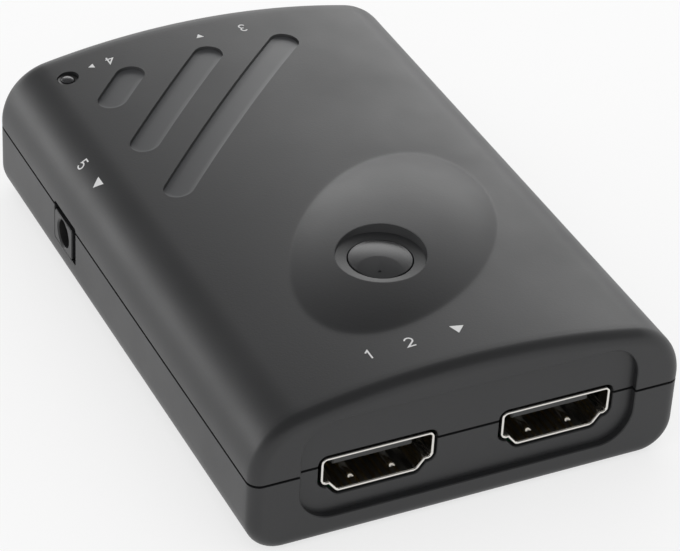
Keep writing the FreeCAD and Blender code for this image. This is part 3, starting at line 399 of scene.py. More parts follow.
class Lid:
    """The outer surface of the upper half, by arc length across and distance along."""

    def __init__(self):
        self.size = size = measures("splitter_casing")
        self.button = measures("splitter_button")
        self.side = size.width / 2
        self.end = size.depth / 2
        self.shoulder_x = self.side - size.shoulder
        fall = size.crown_fall
        self.radius = (self.shoulder_x ** 2 + fall * (fall + 2 * size.shoulder)) / (2 * fall)
        self.centre_z = size.crown_height - self.radius
        reach = self.radius - size.shoulder
        self.lean = math.asin(self.shoulder_x / reach)
        self.shoulder_z = self.centre_z + reach * math.cos(self.lean)
        self.low = size.parting + size.groove / 2
        self.crown_arc = self.radius * self.lean
        self.shoulder_arc = size.shoulder * (math.pi / 2 - self.lean)
        self.half_arc = self.crown_arc + self.shoulder_arc + self.shoulder_z - self.low
        self.hole = self.button.radius + self.button.gap
        # Rounding of the hole's edge, and how far the well's wall leans out for each rise of one
        hole_edge, self.well_flare = 0.05, 0.3
        self.well_foot = self.hole + hole_edge + self.button.well_width
        self.well_floor = self.button.well_low + self.button.well_rise
        pitch = 11.2
        self.slots = [
            ((-17.6, 27.7 - pitch * index), (-13.65 + pitch * index, 31.65)) for index in range(3)
        ]

    def section(self, arc):
        """Place across, height and outward direction at an arc length from the middle."""
        side, arc = (1, arc) if arc >= 0 else (-1, -arc)
        if arc <= self.crown_arc:
            angle = arc / self.radius
            x, z = self.radius * math.sin(angle), self.centre_z + self.radius * math.cos(angle)
        elif arc <= self.crown_arc + self.shoulder_arc:
            angle = self.lean + (arc - self.crown_arc) / self.size.shoulder
            x = self.shoulder_x + self.size.shoulder * math.sin(angle)
            z = self.shoulder_z + self.size.shoulder * math.cos(angle)
        else:
            angle = math.pi / 2
            x, z = self.side, self.shoulder_z - (arc - self.crown_arc - self.shoulder_arc)
        return side * x, z, side * math.sin(angle), math.cos(angle)

    def arc_to(self, x):
        return self.radius * math.asin(x / self.radius)

    def bare(self, x):
        return self.centre_z + math.sqrt(self.radius ** 2 - x * x)

    def dome(self, x, y):
        size = self.size
        across, along = x - size.dome_x, y - size.dome_y
        cos, sin = math.cos(size.dome_turn), math.sin(size.dome_turn)
        long = (across * cos + along * sin) / size.dome_long
        short = (along * cos - across * sin) / size.dome_short
        left = 1 - long * long - short * short
        base = size.crown_height + size.dome_rise - size.dome_high
        return base + size.dome_high * math.sqrt(max(0, left))

    def softened(self, apart, soft):
        """What a soft join adds where two surfaces lie nearer than its width."""
        near = max(0, soft - abs(apart)) / soft
        return near * near * soft / 4

    def domed(self, x, y):
        """The lid with its dome, softened where they meet."""
        bare, dome = self.bare(x), self.dome(x, y)
        return max(bare, dome) + self.softened(bare - dome, 0.12)

    def slot_distance(self, x, y):
        """Distance from the edge of the nearest grip slot, negative inside it."""
        nearest = 1e9
        point = Vector((x, y))
        for low, high in self.slots:
            start, run = Vector(low), Vector(high) - Vector(low)
            share = max(0, min(1, (point - start).dot(run) / run.length_squared))
            nearest = min(nearest, (point - start - run * share).length)
        return nearest - self.size.slot_radius

    def sunk(self, inside):
        """Depth of a grip slot by the distance inside its edge: wall, hollow, flat floor."""
        size = self.size
        wall = 0.8 * size.slot_depth * max(0, min(1, inside / size.slot_wall))
        left = 1 - max(0, min(1, (inside - size.slot_wall) / size.slot_hollow))
        return wall + 0.2 * size.slot_depth * (1 - left * left)

    def height(self, x, y):
        top = self.domed(x, y) - self.sunk(-self.slot_distance(x, y))
        away = math.hypot(x - self.button.x, y - self.button.y)
        wall_reach = 2
        if away > self.well_foot + wall_reach:
            return top
        if away < self.well_foot:
            well = self.well_floor - self.button.well_rise * (
                (self.well_foot - away) / self.button.well_width
            )
        else:
            well = self.well_floor + (away - self.well_foot) / self.well_flare
        return min(top, well) - self.softened(top - well, 0.08)

    def well_rim(self, angle):
        """Radius at which the well's wall meets the dome."""
        radius = self.well_foot
        for _ in range(40):
            x = self.button.x + radius * math.cos(angle)
            y = self.button.y + radius * math.sin(angle)
            rise = max(0, self.domed(x, y) - self.well_floor)
            radius = self.well_foot + self.well_flare * rise
        return radius

    def point(self, arc, y, lift=0.0):
        """A point on the lid, or lifted off it, for print and other thin things."""
        x, z, nx, nz = self.section(arc)
        if abs(arc) < self.crown_arc:
            z = self.height(x, y)
        return x + nx * lift, y, z + nz * lift

    def dome_rings(self):
        """Lines beside the foot of the dome, which is found by halving."""
        size, rings = self.size, []
        cos, sin = math.cos(size.dome_turn), math.sin(size.dome_turn)
        for shift in (-0.7, -0.3, -0.1, 0.1, 0.3, 0.7):
            ring = []
            for long, short in circle(0, 0, size.dome_long, 280, size.dome_short):
                across, along = long * cos - short * sin, long * sin + short * cos
                near, far = 0.2, 1.0
                for _ in range(40):
                    middle = (near + far) / 2
                    x, y = size.dome_x + middle * across, size.dome_y + middle * along
                    inside = self.dome(x, y) > self.bare(x)
                    near, far = (middle, far) if inside else (near, middle)
                share = near + shift / math.hypot(across, along)
                ring.append((size.dome_x + share * across, size.dome_y + share * along))
            rings.append(ring)
        return rings

    def well_rings(self):
        """Lines around the well, by their distance from its foot or from its rim."""
        foot, hole, count = self.well_foot, self.hole, 150
        turns = [2 * math.pi * step / count for step in range(count)]
        rim = [max(self.well_rim(turn), foot + 0.03) for turn in turns]
        lines = [([foot] * count, hole - 0.35 - foot), ([foot] * count, hole + 0.4 - foot),
                 ([foot] * count, -0.08), ([foot] * count, 0.0),
                 (rim, 0.0), (rim, 0.06), (rim, 0.18), (rim, 0.5)]
        x, y = self.button.x, self.button.y
        return [
            [(x + (shift + base) * math.cos(turn), y + (shift + base) * math.sin(turn))
             for base, turn in zip(bases, turns)]
            for bases, shift in lines
        ]

    def slot_rings(self):
        """Lines inside each grip slot, by their distance from its edge in widths of its wall."""
        rings = []
        for low, high in self.slots:
            start, end = Vector(low), Vector(high)
            run = end - start
            heading, steps = math.atan2(run.y, run.x), max(2, int(run.length / 0.45))
            for inside in (0.0, 0.5, 1.0, 1.7, 2.8, 4.2, 5.8, 7.4, 8.5):
                radius = self.size.slot_radius - inside * self.size.slot_wall
                ring = []
                for middle, after, first in ((end, start, heading - math.pi / 2),
                                             (start, end, heading + math.pi / 2)):
                    ring += arc_points(middle.x, middle.y, radius, first, math.pi, 24)
                    edge = Vector(ring[-1])
                    ring += [
                        tuple(edge + (after - middle) * step / steps) for step in range(1, steps)
                    ]
                rings.append(ring)
        return rings

    def feature_rings(self):
        """Closed lines in (arc length, y) that the mesh of the lid follows."""
        rings = self.dome_rings() + self.well_rings() + self.slot_rings()
        return [[(self.arc_to(x), y) for x, y in ring] for ring in rings]


class Ends:
    """How the skin of a casing half turns over its rounded rims onto the flat ends."""

    def __init__(self, size):
        self.end = size.depth / 2
        self.front, self.back = size.front_round, size.back_round
        self.front_arc, self.back_arc = self.front * math.pi / 2, self.back * math.pi / 2
        first, last = self.front - self.end, self.end - self.back
        flat, turn = 0.4, range(9)
        self.lines = sorted({
            first - self.front_arc - flat, *even(first, last, 0.9)[1:-1],
            last + self.back_arc + flat, *(first - self.front_arc * i / 8 for i in turn),
            *(last + self.back_arc * i / 8 for i in turn),
        })

    def at(self, along):
        """Place along the casing and inset of the section for a line of the skin."""
        for radius, arc, sign in ((self.front, self.front_arc, -1), (self.back, self.back_arc, 1)):
            past = sign * along - (self.end - radius)
            if past > 0:
                angle = min(1, past / arc) * math.pi / 2
                over = max(0, past - arc)
                y = sign * (self.end - radius * (1 - math.sin(angle)))
                return y, radius * (1 - math.cos(angle)) + over
        return along, 0.0


def casing_half(name, section, arcs, ends, rings, height=None):
    """A solid whose skin follows a section, turned over at both ends, before it is hollowed."""
    # Points of the grid give way to the lines of the rings within this distance
    clear = 0.34
    flat_lines = [y for y in ends.lines if ends.at(y)[1] == 0]
    grid = np.array([(arc, along) for arc in arcs for along in ends.lines])
    if rings:
        marks = np.array([point for ring in rings for point in ring])
        keep = np.ones(len(grid), bool)
        inner = (np.abs(grid[:, 0]) < max(arcs)) & (grid[:, 1] > flat_lines[0])
        for index in np.nonzero(inner)[0]:
            keep[index] = np.hypot(*(marks - grid[index]).T).min() > clear
        grid = grid[keep]
    corners = [Vector(point) for point in grid]
    edges = []
    for ring in rings:
        start = len(corners)
        corners += [Vector(point) for point in ring]
        edges += [(start + i, start + (i + 1) % len(ring)) for i in range(len(ring))]
    flat, _, faces = delaunay_2d_cdt(corners, edges, [], 0, 1e-6)[:3]
    points = []
    for arc, along in flat:
        x, z, nx, nz = section(arc)
        y, inset = ends.at(along)
        if inset == 0 and height:
            z = height(arc, x, y, z)
        points.append((x - nx * inset, y, z - nz * inset))

    def chain(axis, value):
        """Points on one straight edge of the flat skin, in order along it."""
        edge = [i for i, point in enumerate(flat) if abs(point[axis] - value) < 1e-5]
        return sorted(edge, key=lambda i: flat[i][1 - axis])

    reach = max(arcs)
    faces += [chain(1, ends.lines[0]), chain(1, ends.lines[-1])]
    faces.append(chain(0, reach) + chain(0, -reach)[::-1])
    return solid(name, (points, faces))


# Outlines of the sockets

def output_outline(socket, offset):
    """Opening of an output socket, moved out by an offset."""
    straight, step, foot = 3.2, 6.15, 5.05
    lean = (step - foot) / (socket.opening - straight)
    grow = offset * (math.sqrt(1 + lean * lean) - lean)
    top, side = socket.upper + offset, socket.upper - straight - offset
    low, wide = socket.upper - socket.opening - offset, socket.half + offset
    half = [(wide, top), (wide, side), (step + grow, side), (foot + grow, low)]
    corners = half + [(-x, z) for x, z in reversed(half)]
    outer, inner = socket.corner + offset, max(0.05, socket.corner * 0.7 - offset)
    return rounded(corners, [outer, outer, inner, outer, outer, inner, outer, outer])


def input_outline(socket, offset):
    """Opening of the input socket, moved out by an offset."""
    half, top = socket.half + offset, socket.upper + offset
    low, grow, cut = socket.upper - socket.opening - offset, offset * (math.sqrt(2) - 1), 2.2
    foot = (cut - socket.half - grow, low)
    flank = (-half, socket.upper - socket.opening + cut - grow)
    return rounded([(half, top), (half, low), foot, flank, (-half, top)], socket.corner + offset)


def sockets():
    """Outline, opening, tongue, contact rows and place of each socket."""
    size, casing = measures("splitter_sockets"), measures("splitter_casing")
    mouth = casing.depth / 2 - casing.panel_depth
    shared = {"upper": size.top, "corner": size.corner}
    output = {
        "outline": output_outline, "half": 7.0, "opening": 4.55, "tongue": 5.2, "tongue_top": 10.0,
        "rows": ((size.upper_count, 0.0), (size.lower_count, 0.0)),
        "mouth": -mouth, "inward": 1, **shared,
    }
    return [
        SimpleNamespace(name="output_one", x=-size.output_x, **output),
        SimpleNamespace(name="output_two", x=size.output_x, **output),
        SimpleNamespace(
            name="input", x=0.0, outline=input_outline, half=8.05, opening=4.85, tongue=5.7,
            tongue_top=9.1, rows=((10, -0.25), (10, 0.25)), mouth=mouth, inward=-1, **shared,
        ),
    ]


def along_socket(socket, steps):
    """Rings of a socket's outline, one for each offset and depth."""
    return [
        [(socket.x + x, socket.mouth + socket.inward * depth, z)
         for x, z in socket.outline(socket, offset)]
        for offset, depth in steps
    ]


def carve_ends(item):
    """Sinks the end panels and opens the sockets and the jack in a casing half."""
    size, socket_size = measures("splitter_casing"), measures("splitter_sockets")
    edge, gap = 0.12, socket_size.sheet + socket_size.gap
    panel = (-size.panel_side, size.panel_side, size.panel_low, size.panel_high)
    for sign in (-1, 1):
        steps = [
            (sign * (size.depth / 2 - depth), offset)
            for offset, depth in ((edge + 1, -1), (0, edge), (0, size.panel_depth))
        ]
        carve(item, grown(panel, size.panel_corner, Y, steps, 12, widen=True))
    for socket in sockets():
        carve(item, along_socket(socket, ((gap + 0.4, -0.3), (gap, 0.1), (gap, 3.2))))
    # The notch for the power jack, which widens outwards
    side, notch = size.width / 2, (13.2, 20.66, 5.24, 10.9)
    steps = ((-side - 0.5, 0.58), (-side + 0.08, 0), (-side + 3, 0))
    carve(item, grown(notch, 0.4, X, steps, widen=True))


def screw_places():
    return [(x, y) for y in SCREW_ROWS for x in (-SCREW_ACROSS, SCREW_ACROSS)]


# Shader groups that several finishes use

def new_group(name, inputs, outputs):
    tree = bpy.data.node_groups.new(name, "ShaderNodeTree")
    for label, kind, default in inputs:
        socket = tree.interface.new_socket(label, in_out="INPUT", socket_type="NodeSocket" + kind)
        if default is not None:
            socket.default_value = default
    for label, kind in outputs:
        tree.interface.new_socket(label, in_out="OUTPUT", socket_type="NodeSocket" + kind)
    return tree, tree.nodes.new("NodeGroupInput"), tree.nodes.new("NodeGroupOutput")


def wire(tree, source, target):
    tree.links.new(source, target)


def add_node(tree, kind, inputs=None, **settings):
    """A new node with its settings made, and its inputs linked or set to a constant."""
    node = tree.nodes.new(kind)
    for label, value in settings.items():
        setattr(node, label, value)
    for label, value in (inputs or {}).items():
        if isinstance(value, bpy.types.NodeSocket):
            wire(tree, value, node.inputs[label])
        else:
            node.inputs[label].default_value = value
    return node


def noise(tree, vector, scale, detail, roughness):
    inputs = {"Vector": vector, "Scale": scale, "Detail": detail, "Roughness": roughness}
    return add_node(tree, "ShaderNodeTexNoise", inputs).outputs["Fac"]


def math_node(tree, operation, first, second):
    inputs = {0: first, 1: second}
    return add_node(tree, "ShaderNodeMath", inputs, operation=operation).outputs[0]


def spread(tree, value, low, high):
    """Maps a noise to a range, around its usual middle."""
    inputs = {"From Min": 0.3, "From Max": 0.7, "Value": value, "To Min": low, "To Max": high}
    return add_node(tree, "ShaderNodeMapRange", inputs).outputs["Result"]


def tinted(tree, colour_socket, brightness):
    """A colour times a brightness that changes over the surface."""
    inputs = {0: colour_socket, "Scale": brightness}
    return add_node(tree, "ShaderNodeVectorMath", inputs, operation="SCALE").outputs["Vector"]


def weighed(tree, first, first_share, second, second_share):
    return math_node(
        tree, "ADD", math_node(tree, "MULTIPLY", first, first_share),
        math_node(tree, "MULTIPLY", second, second_share),
    )


def close_group(tree, source, target, shade, wear, height):
    """Links a texture's shade, wear and relief to what its group gives out."""
    rough = spread(tree, wear, source.outputs["Smoothest"], source.outputs["Roughest"])
    wire(tree, tinted(tree, source.outputs["Colour"], shade), target.inputs["Colour"])
    wire(tree, rough, target.inputs["Roughness"])
    wire(tree, height, target.inputs["Height"])
    return tree


def moulded_texture():
    """Spark-eroded grain of moulded plastic, with soft handling marks."""
    tree, source, target = new_group(
        "moulded_texture",
        [("Vector", "Vector", None), ("Colour", "Color", (0.02, 0.02, 0.02, 1)),
         ("Grain Size", "Float", 3600.0), ("Smoothest", "Float", 0.36),
         ("Roughest", "Float", 0.46), ("Shade Change", "Float", 0.08)],
        [("Colour", "Color"), ("Roughness", "Float"), ("Height", "Float")],
    )
    vector = source.outputs["Vector"]
    broad = noise(tree, vector, 60.0, 3.0, 0.6)
    fine = noise(tree, vector, source.outputs["Grain Size"], 2.0, 0.6)
    cells = add_node(
        tree, "ShaderNodeTexVoronoi", {"Vector": vector, "Scale": source.outputs["Grain Size"]}
    )
    pits = math_node(tree, "MULTIPLY", cells.outputs["Distance"], 0.5)
    change = source.outputs["Shade Change"]
    dark = math_node(tree, "SUBTRACT", 1.0, change)
    light = math_node(tree, "ADD", 1.0, change)
    shade = spread(tree, weighed(tree, broad, 0.6, fine, 0.4), dark, light)
    return close_group(tree, source, target, shade, broad, math_node(tree, "ADD", fine, pits))


def drawn_lines():
    """Fine lines of drawn or rolled sheet, with dull patches."""
    tree, source, target = new_group(
        "drawn_lines",
        [("Vector", "Vector", None), ("Colour", "Color", (0.7, 0.7, 0.7, 1)),
         ("Line Size", "Float", 3000.0), ("Smoothest", "Float", 0.15), ("Roughest", "Float", 0.3)],
        [("Colour", "Color"), ("Roughness", "Float"), ("Height", "Float")],
    )
    stretch = add_node(
        tree, "ShaderNodeVectorMath", {0: source.outputs["Vector"], 1: (1.0, 0.06, 1.0)},
        operation="MULTIPLY",
    )
    lines = noise(tree, stretch.outputs["Vector"], source.outputs["Line Size"], 3.0, 0.6)
    patches = noise(tree, source.outputs["Vector"], 350.0, 3.0, 0.6)
    both = weighed(tree, lines, 0.5, patches, 0.5)
    shade = spread(tree, both, 0.88, 1.06)
    return close_group(tree, source, target, shade, both, lines)


def finish(name, group, colour_value, sizes, bump, **shader):
    """A material whose colour, roughness and relief come from one of the shader groups."""
    material = bpy.data.materials.new(name)
    material.use_nodes = True
    tree = material.node_tree
    principled = tree.nodes["Principled BSDF"]
    place = add_node(tree, "ShaderNodeTexCoord").outputs["Object"]
    texture = add_node(
        tree, "ShaderNodeGroup", {"Vector": place, "Colour": (*colour_value, 1), **sizes},
        node_tree=group,
    )
    relief = add_node(tree, "ShaderNodeBump", {
        "Strength": bump[0], "Distance": bump[1] * MM, "Height": texture.outputs["Height"],
    })
    for output, label in ((texture.outputs["Colour"], "Base Color"),
                          (texture.outputs["Roughness"], "Roughness"),
                          (relief.outputs["Normal"], "Normal")):
        wire(tree, output, principled.inputs[label])
    for label, value in shader.items():
        principled.inputs[label.replace("_", " ")].default_value = value
    material.diffuse_color = (*colour_value, 1)
    return material


def make_finishes():
    """Makes every finish, each named after its material slot or its piece."""
    values = bpy.context.scene.splitter_finish
    moulded, drawn = moulded_texture(), drawn_lines()

    def plastic(name, tone, grain, smooth, rough, bump, change=0.08, **shader):
        return finish(
            name, moulded, tone,
            {"Grain Size": grain, "Smoothest": smooth, "Roughest": rough, "Shade Change": change},
            bump, **shader,
        )

    def metal(name, tone, line, smooth, rough, bump=(0.15, 0.004)):
        return finish(
            name, drawn, tone, {"Line Size": line, "Smoothest": smooth, "Roughest": rough},
            bump, Metallic=1.0,
        )

    plastic("casing_plastic", values.casing, 3600.0, 0.38, 0.46, (0.35, 0.02), IOR=1.5)
    # Smoother finish for the grip slot floors, with a lighter colour that is painted sheen
    plastic("grip_satin", values.grip, 4200.0, 0.32, 0.4, (0.12, 0.01), IOR=1.5)
    plastic("button_plastic", values.button, 4200.0, 0.22, 0.28, (0.1, 0.01), IOR=1.5)
    plastic("jack_plastic", values.casing, 4200.0, 0.36, 0.44, (0.2, 0.01), IOR=1.5)
    # Black plastic, partly real colour and partly painted shade inside the sockets
    plastic("black_moulding", values.moulding, 4000.0, 0.35, 0.5, (0.2, 0.01))
    plastic(
        "smoky_lens", (0.05, 0.05, 0.053), 900.0, 0.12, 0.2, (0.05, 0.01),
        Transmission_Weight=0.35, IOR=1.49,
    )
    metal("socket_nickel", values.nickel, 2500.0, 0.16, 0.28)
    metal("plated_sheet", (0.62, 0.62, 0.61), 2500.0, 0.25, 0.4)
    metal("spring_steel", (0.55, 0.55, 0.56), 3000.0, 0.2, 0.32)
    metal("screw_steel", (0.14, 0.14, 0.15), 1800.0, 0.3, 0.45)
    metal("contact_gold", (0.83, 0.62, 0.27), 3000.0, 0.18, 0.3)
    plastic("board_laminate", (0.015, 0.12, 0.05), 1500.0, 0.28, 0.4, (0.2, 0.02), 0.15)
    plastic("chip_epoxy", (0.03, 0.03, 0.033), 5000.0, 0.5, 0.65, (0.3, 0.01))
    plastic("chip_ceramic", (0.42, 0.3, 0.18), 3500.0, 0.4, 0.6, (0.2, 0.01), 0.15)
    plastic("ferrite", (0.1, 0.1, 0.105), 2500.0, 0.55, 0.75, (0.4, 0.02), 0.15)
    metal("can_aluminium", (0.75, 0.76, 0.78), 2200.0, 0.2, 0.35)
    ink = tuple(bpy.context.scene.splitter_marks.ink)
    plastic("print_ink", ink, 3000.0, 0.45, 0.6, (0.15, 0.005), 0.06)


def material_for(slot):
    names = {
        "casing": "casing_plastic", "button": "button_plastic", "clear_lamp": "smoky_lens",
        "contact_brass": "contact_gold",
    }
    return bpy.data.materials[names.get(slot, slot)]


# Geometry Nodes tree that sets a piece out in rows

def row_tree():
    tree = bpy.data.node_groups.new("set_out_in_rows", "GeometryNodeTree")
    for label, kind in (
        ("Piece", "Geometry"), ("Start", "Vector"), ("Across Count", "Int"),
        ("Across Step", "Vector"), ("Along Count", "Int"), ("Along Step", "Vector"),
        ("Finish", "Material"),
    ):
        tree.interface.new_socket(label, in_out="INPUT", socket_type="NodeSocket" + kind)
    tree.interface.new_socket("Row", in_out="OUTPUT", socket_type="NodeSocketGeometry")
    source, target = tree.nodes.new("NodeGroupInput"), tree.nodes.new("NodeGroupOutput")
    piece = source.outputs["Piece"]
    for count, step, start in (
        ("Across Count", "Across Step", "Start"), ("Along Count", "Along Step", None)
    ):
        line = add_node(
            tree, "GeometryNodeMeshLine",
            {"Count": source.outputs[count], "Offset": source.outputs[step]}, mode="OFFSET",
        )
        if start:
            wire(tree, source.outputs[start], line.inputs["Start Location"])
        spot = add_node(
            tree, "GeometryNodeInstanceOnPoints",
            {"Points": line.outputs["Mesh"], "Instance": piece},
        )
        real = add_node(
            tree, "GeometryNodeRealizeInstances", {"Geometry": spot.outputs["Instances"]}
        )
        piece = real.outputs["Geometry"]
    paint = add_node(
        tree, "GeometryNodeSetMaterial", {"Geometry": piece, "Material": source.outputs["Finish"]}
    )
    wire(tree, paint.outputs["Geometry"], target.inputs["Row"])
    return tree


def set_out(item, start, across, along, material):
    """Repeats the object's mesh in rows and leaves the result as its plain mesh."""
    tree = bpy.data.node_groups.get("set_out_in_rows") or row_tree()
    modifier = item.modifiers.new("rows", "NODES")
    modifier.node_group = tree
    values = {
        "Start": [c * MM for c in start], "Across Count": across[0],
        "Across Step": [c * MM for c in across[1]], "Along Count": along[0],
        "Along Step": [c * MM for c in along[1]], "Finish": material,
    }
    for socket in tree.interface.items_tree:
        if socket.name in values:
            modifier[socket.identifier] = values[socket.name]
    settle(item)


# Operators, one for each piece or group of like pieces

class SPLITTER_OT_finishes(bpy.types.Operator):
    """Make the finishes and give them to the parts inside the casing"""

    bl_idname = "splitter.finishes"
    bl_label = "Finishes"

    def execute(self, context):
        make_finishes()
        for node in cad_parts.values():
            for slot in node.material_slots:
                slot.material = material_for(slot.material.name.split(".")[0])
        return {"FINISHED"}


class SPLITTER_OT_upper_casing(bpy.types.Operator):
    """Make the upper half of the casing, with its dome, well, grip slots and posts"""

    bl_idname = "splitter.upper_casing"
    bl_label = "Upper Casing"

    def execute(self, context):
        lid = Lid()
        size, button = lid.size, lid.button
        bend = lid.crown_arc + lid.shoulder_arc
        half = even(0, lid.crown_arc, 0.9) + even(lid.crown_arc, bend, 0.55)[1:] + [lid.half_arc]

        def height(arc, x, y, z):
            return lid.height(x, y) if abs(arc) < lid.crown_arc else z

        shell = casing_half(
            "upper_casing", lid.section, both_sides(half), Ends(size), lid.feature_rings(), height
        )
        inner = []
        for arc in even(-bend, bend, 1.2):
            x, z, nx, nz = lid.section(arc)
            inner.append((x - nx * size.wall, z - nz * size.wall))
        side, end = lid.side - size.wall, lid.end - size.wall
        carve(shell, stacked([(-side, 8.0), *inner, (side, 8.0)], Y, -end, end))
        rebate = 0.8
        wide, long = side + rebate, end + rebate
        carve(shell, stacked(rectangle(-wide, wide, -long, long, 1.3), Z, 9.0, 11.6))
        carve_ends(shell)
        hole, bottom = lid.hole, button.well_low
        carve(shell, turned(button.x, button.y, (
            (hole, 12), (hole, bottom - 0.04), (hole + 0.06, bottom + 0.03),
            (hole + 0.12, bottom + 0.2),
        )))
        x, y, radius = button.light_x, button.light_y, button.light_ring + 0.05
        carve(shell, turned(x, y, ((radius, 12), (radius, 21))))
        # Posts for the screws, and collars that guide the button and the light
        posts, post, pilot = Form(), 2.7, 1.27
        under = lid.bare(SCREW_ACROSS - 1.5) - 3.3
        for px, py in screw_places():
            posts.add(*upright_tube(px, py, post, pilot, BOARD_TOP, under))
        posts.add(*upright_tube(button.x, button.y, hole + 1.2, hole, 16.8, 19.6, 64))
        posts.add(*upright_tube(x, y, 2.6, 1.7, button.light_top - 3, 17.3))
        join(shell, posts.piece("posts"))
        dress(shell, "casing", "top_shell")
        shell.data.materials.append(bpy.data.materials["grip_satin"])
        # The floors of the grip slots are the upward faces inside the slots' walls; their lighter
        # colour is painted sheen
        for face in shell.data.polygons:
            x, y, z = (c / MM for c in face.center)
            if z > 17 and face.normal.z > 0.6 and lid.slot_distance(x, y) < -size.slot_wall:
                face.material_index = 1
        return {"FINISHED"}


class SPLITTER_OT_lower_casing(bpy.types.Operator):
    """Make the lower half of the casing, with its lip, bosses and screw holes"""

    bl_idname = "splitter.lower_casing"
    bl_label = "Lower Casing"

    def execute(self, context):
        size = measures("splitter_casing")
        side, end, foot = size.width / 2, size.depth / 2, size.foot
        top = size.parting - size.groove / 2
        flat, bend = side - foot, foot * math.pi / 2
        reach = flat + bend + top - foot

        def section(arc):
            sign, arc = (1, arc) if arc >= 0 else (-1, -arc)
            if arc <= flat:
                return sign * arc, 0.0, 0.0, -1.0
            angle = min(1, (arc - flat) / bend) * math.pi / 2
            rise = max(0, arc - flat - bend)
            x, z = flat + foot * math.sin(angle), foot * (1 - math.cos(angle)) + rise
            return sign * x, z, sign * math.sin(angle), -math.cos(angle)

        half = even(0, flat - 1, 3.0) + even(flat - 1, flat, 0.5)[1:]
        half += even(flat, flat + bend, 0.5)[1:] + even(flat + bend, reach, 1.5)[1:]
        shell = casing_half("lower_casing", section, both_sides(half), Ends(size), [])
        inner, ends = side - size.wall, end - size.wall
        lip = 0.7
        wide, long = inner + lip, ends + lip
        carve(shell, stacked(rectangle(-wide, wide, -long, long, 1.2), Z, 4.5, 11.6), "UNION")
        corners = [(inner, 13), (-inner, 13), (-inner, 2.0), (inner, 2.0)]
        carve(shell, stacked(rounded(corners, [0.3, 0.3, 2.5, 2.5]), Y, -ends, ends))
        carve_ends(shell)
        boss, head, shank = 3.2, 2.6, 1.55
        screw_hole = ((boss, -0.4), (head, 0.2), (head, 2.0), (shank, 2.0), (shank, 4.7))
        for x, y in screw_places():
            carve(shell, turned(x, y, ((boss, 1.0), (boss, 3.7)), 48), "UNION")
            carve(shell, turned(x, y, screw_hole, 64))
        dress(shell, "casing", "bottom_shell")
        return {"FINISHED"}


class SPLITTER_OT_button(bpy.types.Operator):
    """Make the crowned push button with its flat facet"""

    bl_idname = "splitter.button"
    bl_label = "Button"

    def execute(self, context):
        size = measures("splitter_button")
        ball = (size.radius ** 2 + size.crown ** 2) / (2 * size.crown)

        def crown(r):
            return size.top - ball + math.sqrt(ball * ball - r * r)

        # The stem that reaches the switch, and the flange that keeps the cap in
        stem, flange, bevel, edge = 1.6, 5.0, 0.1, 0.12
        profile = [
            (0, 10.2), (stem - bevel, 10.2), (stem, 10.3), (stem, 15.75), (flange - bevel, 15.75),
            (flange, 15.85), (flange, 16.65), (flange - bevel, 16.75), (size.radius, 16.75),
        ]
        rim = size.radius - edge
        profile += arc_points(rim, crown(rim) - edge, edge, 0, math.pi / 2, 12)[:-1]
        profile += [(r, crown(r)) for r in np.linspace(rim, 0, 16)]
        cap = solid("push_button", lathe(profile, size.x, size.y))
        inside = math.sqrt(ball ** 2 - size.facet ** 2)
        lean = math.asin(size.facet_shift / inside)
        out = -AWAY * math.sin(lean) + Vector((0, 0, math.cos(lean)))
        down = RIGHT.cross(out)
        middle = Vector((size.x, size.y, size.top - ball)) + out * inside
        # The cut that leaves the facet, then the small round mark in its middle
        for reach, low, high, steps in ((6.0, 0, 2, 4), (0.2, -0.1, 0.5, 24)):
            carve(cap, [
                [middle + out * level + (RIGHT * across + down * along) * reach
                 for across, along in circle(0, 0, 1, steps)]
                for level in (low, high)
            ])
        dress(cap, "button", "button_cap", body="button", sharp=9)
        return {"FINISHED"}


class SPLITTER_OT_power_light(bpy.types.Operator):
    """Make the round lens of the power light and the black ring around it"""

    bl_idname = "splitter.power_light"
    bl_label = "Power Light"

    def execute(self, context):
        size = measures("splitter_button")
        x, y, top, radius = size.light_x, size.light_y, size.light_top, size.light_radius
        low, crown = top - 5.2, 0.3
        profile = [(0, low), (radius, low)]
        profile += arc_points(0, top - crown, radius, 0, math.pi / 2, 16, crown)[:-1] + [(0, top)]
        lens = solid("power_lens", lathe(profile, x, y))
        dress(lens, "clear_lamp", "power_light", sharp=40)
        outer, inner = size.light_ring, radius + 0.02
        rings = turned(x, y, (
            (1.9, low), (1.9, low + 1), (outer, low + 1), (outer, top - 0.42),
            (outer - 0.08, top - 0.36), (inner + 0.1, top - 0.4), (inner, top - 0.48), (inner, low),
        ), 64)
        ring = solid("power_light_ring", loft(rings, loop=True))
        dress(ring, "black_moulding", "power_light")
        return {"FINISHED"}


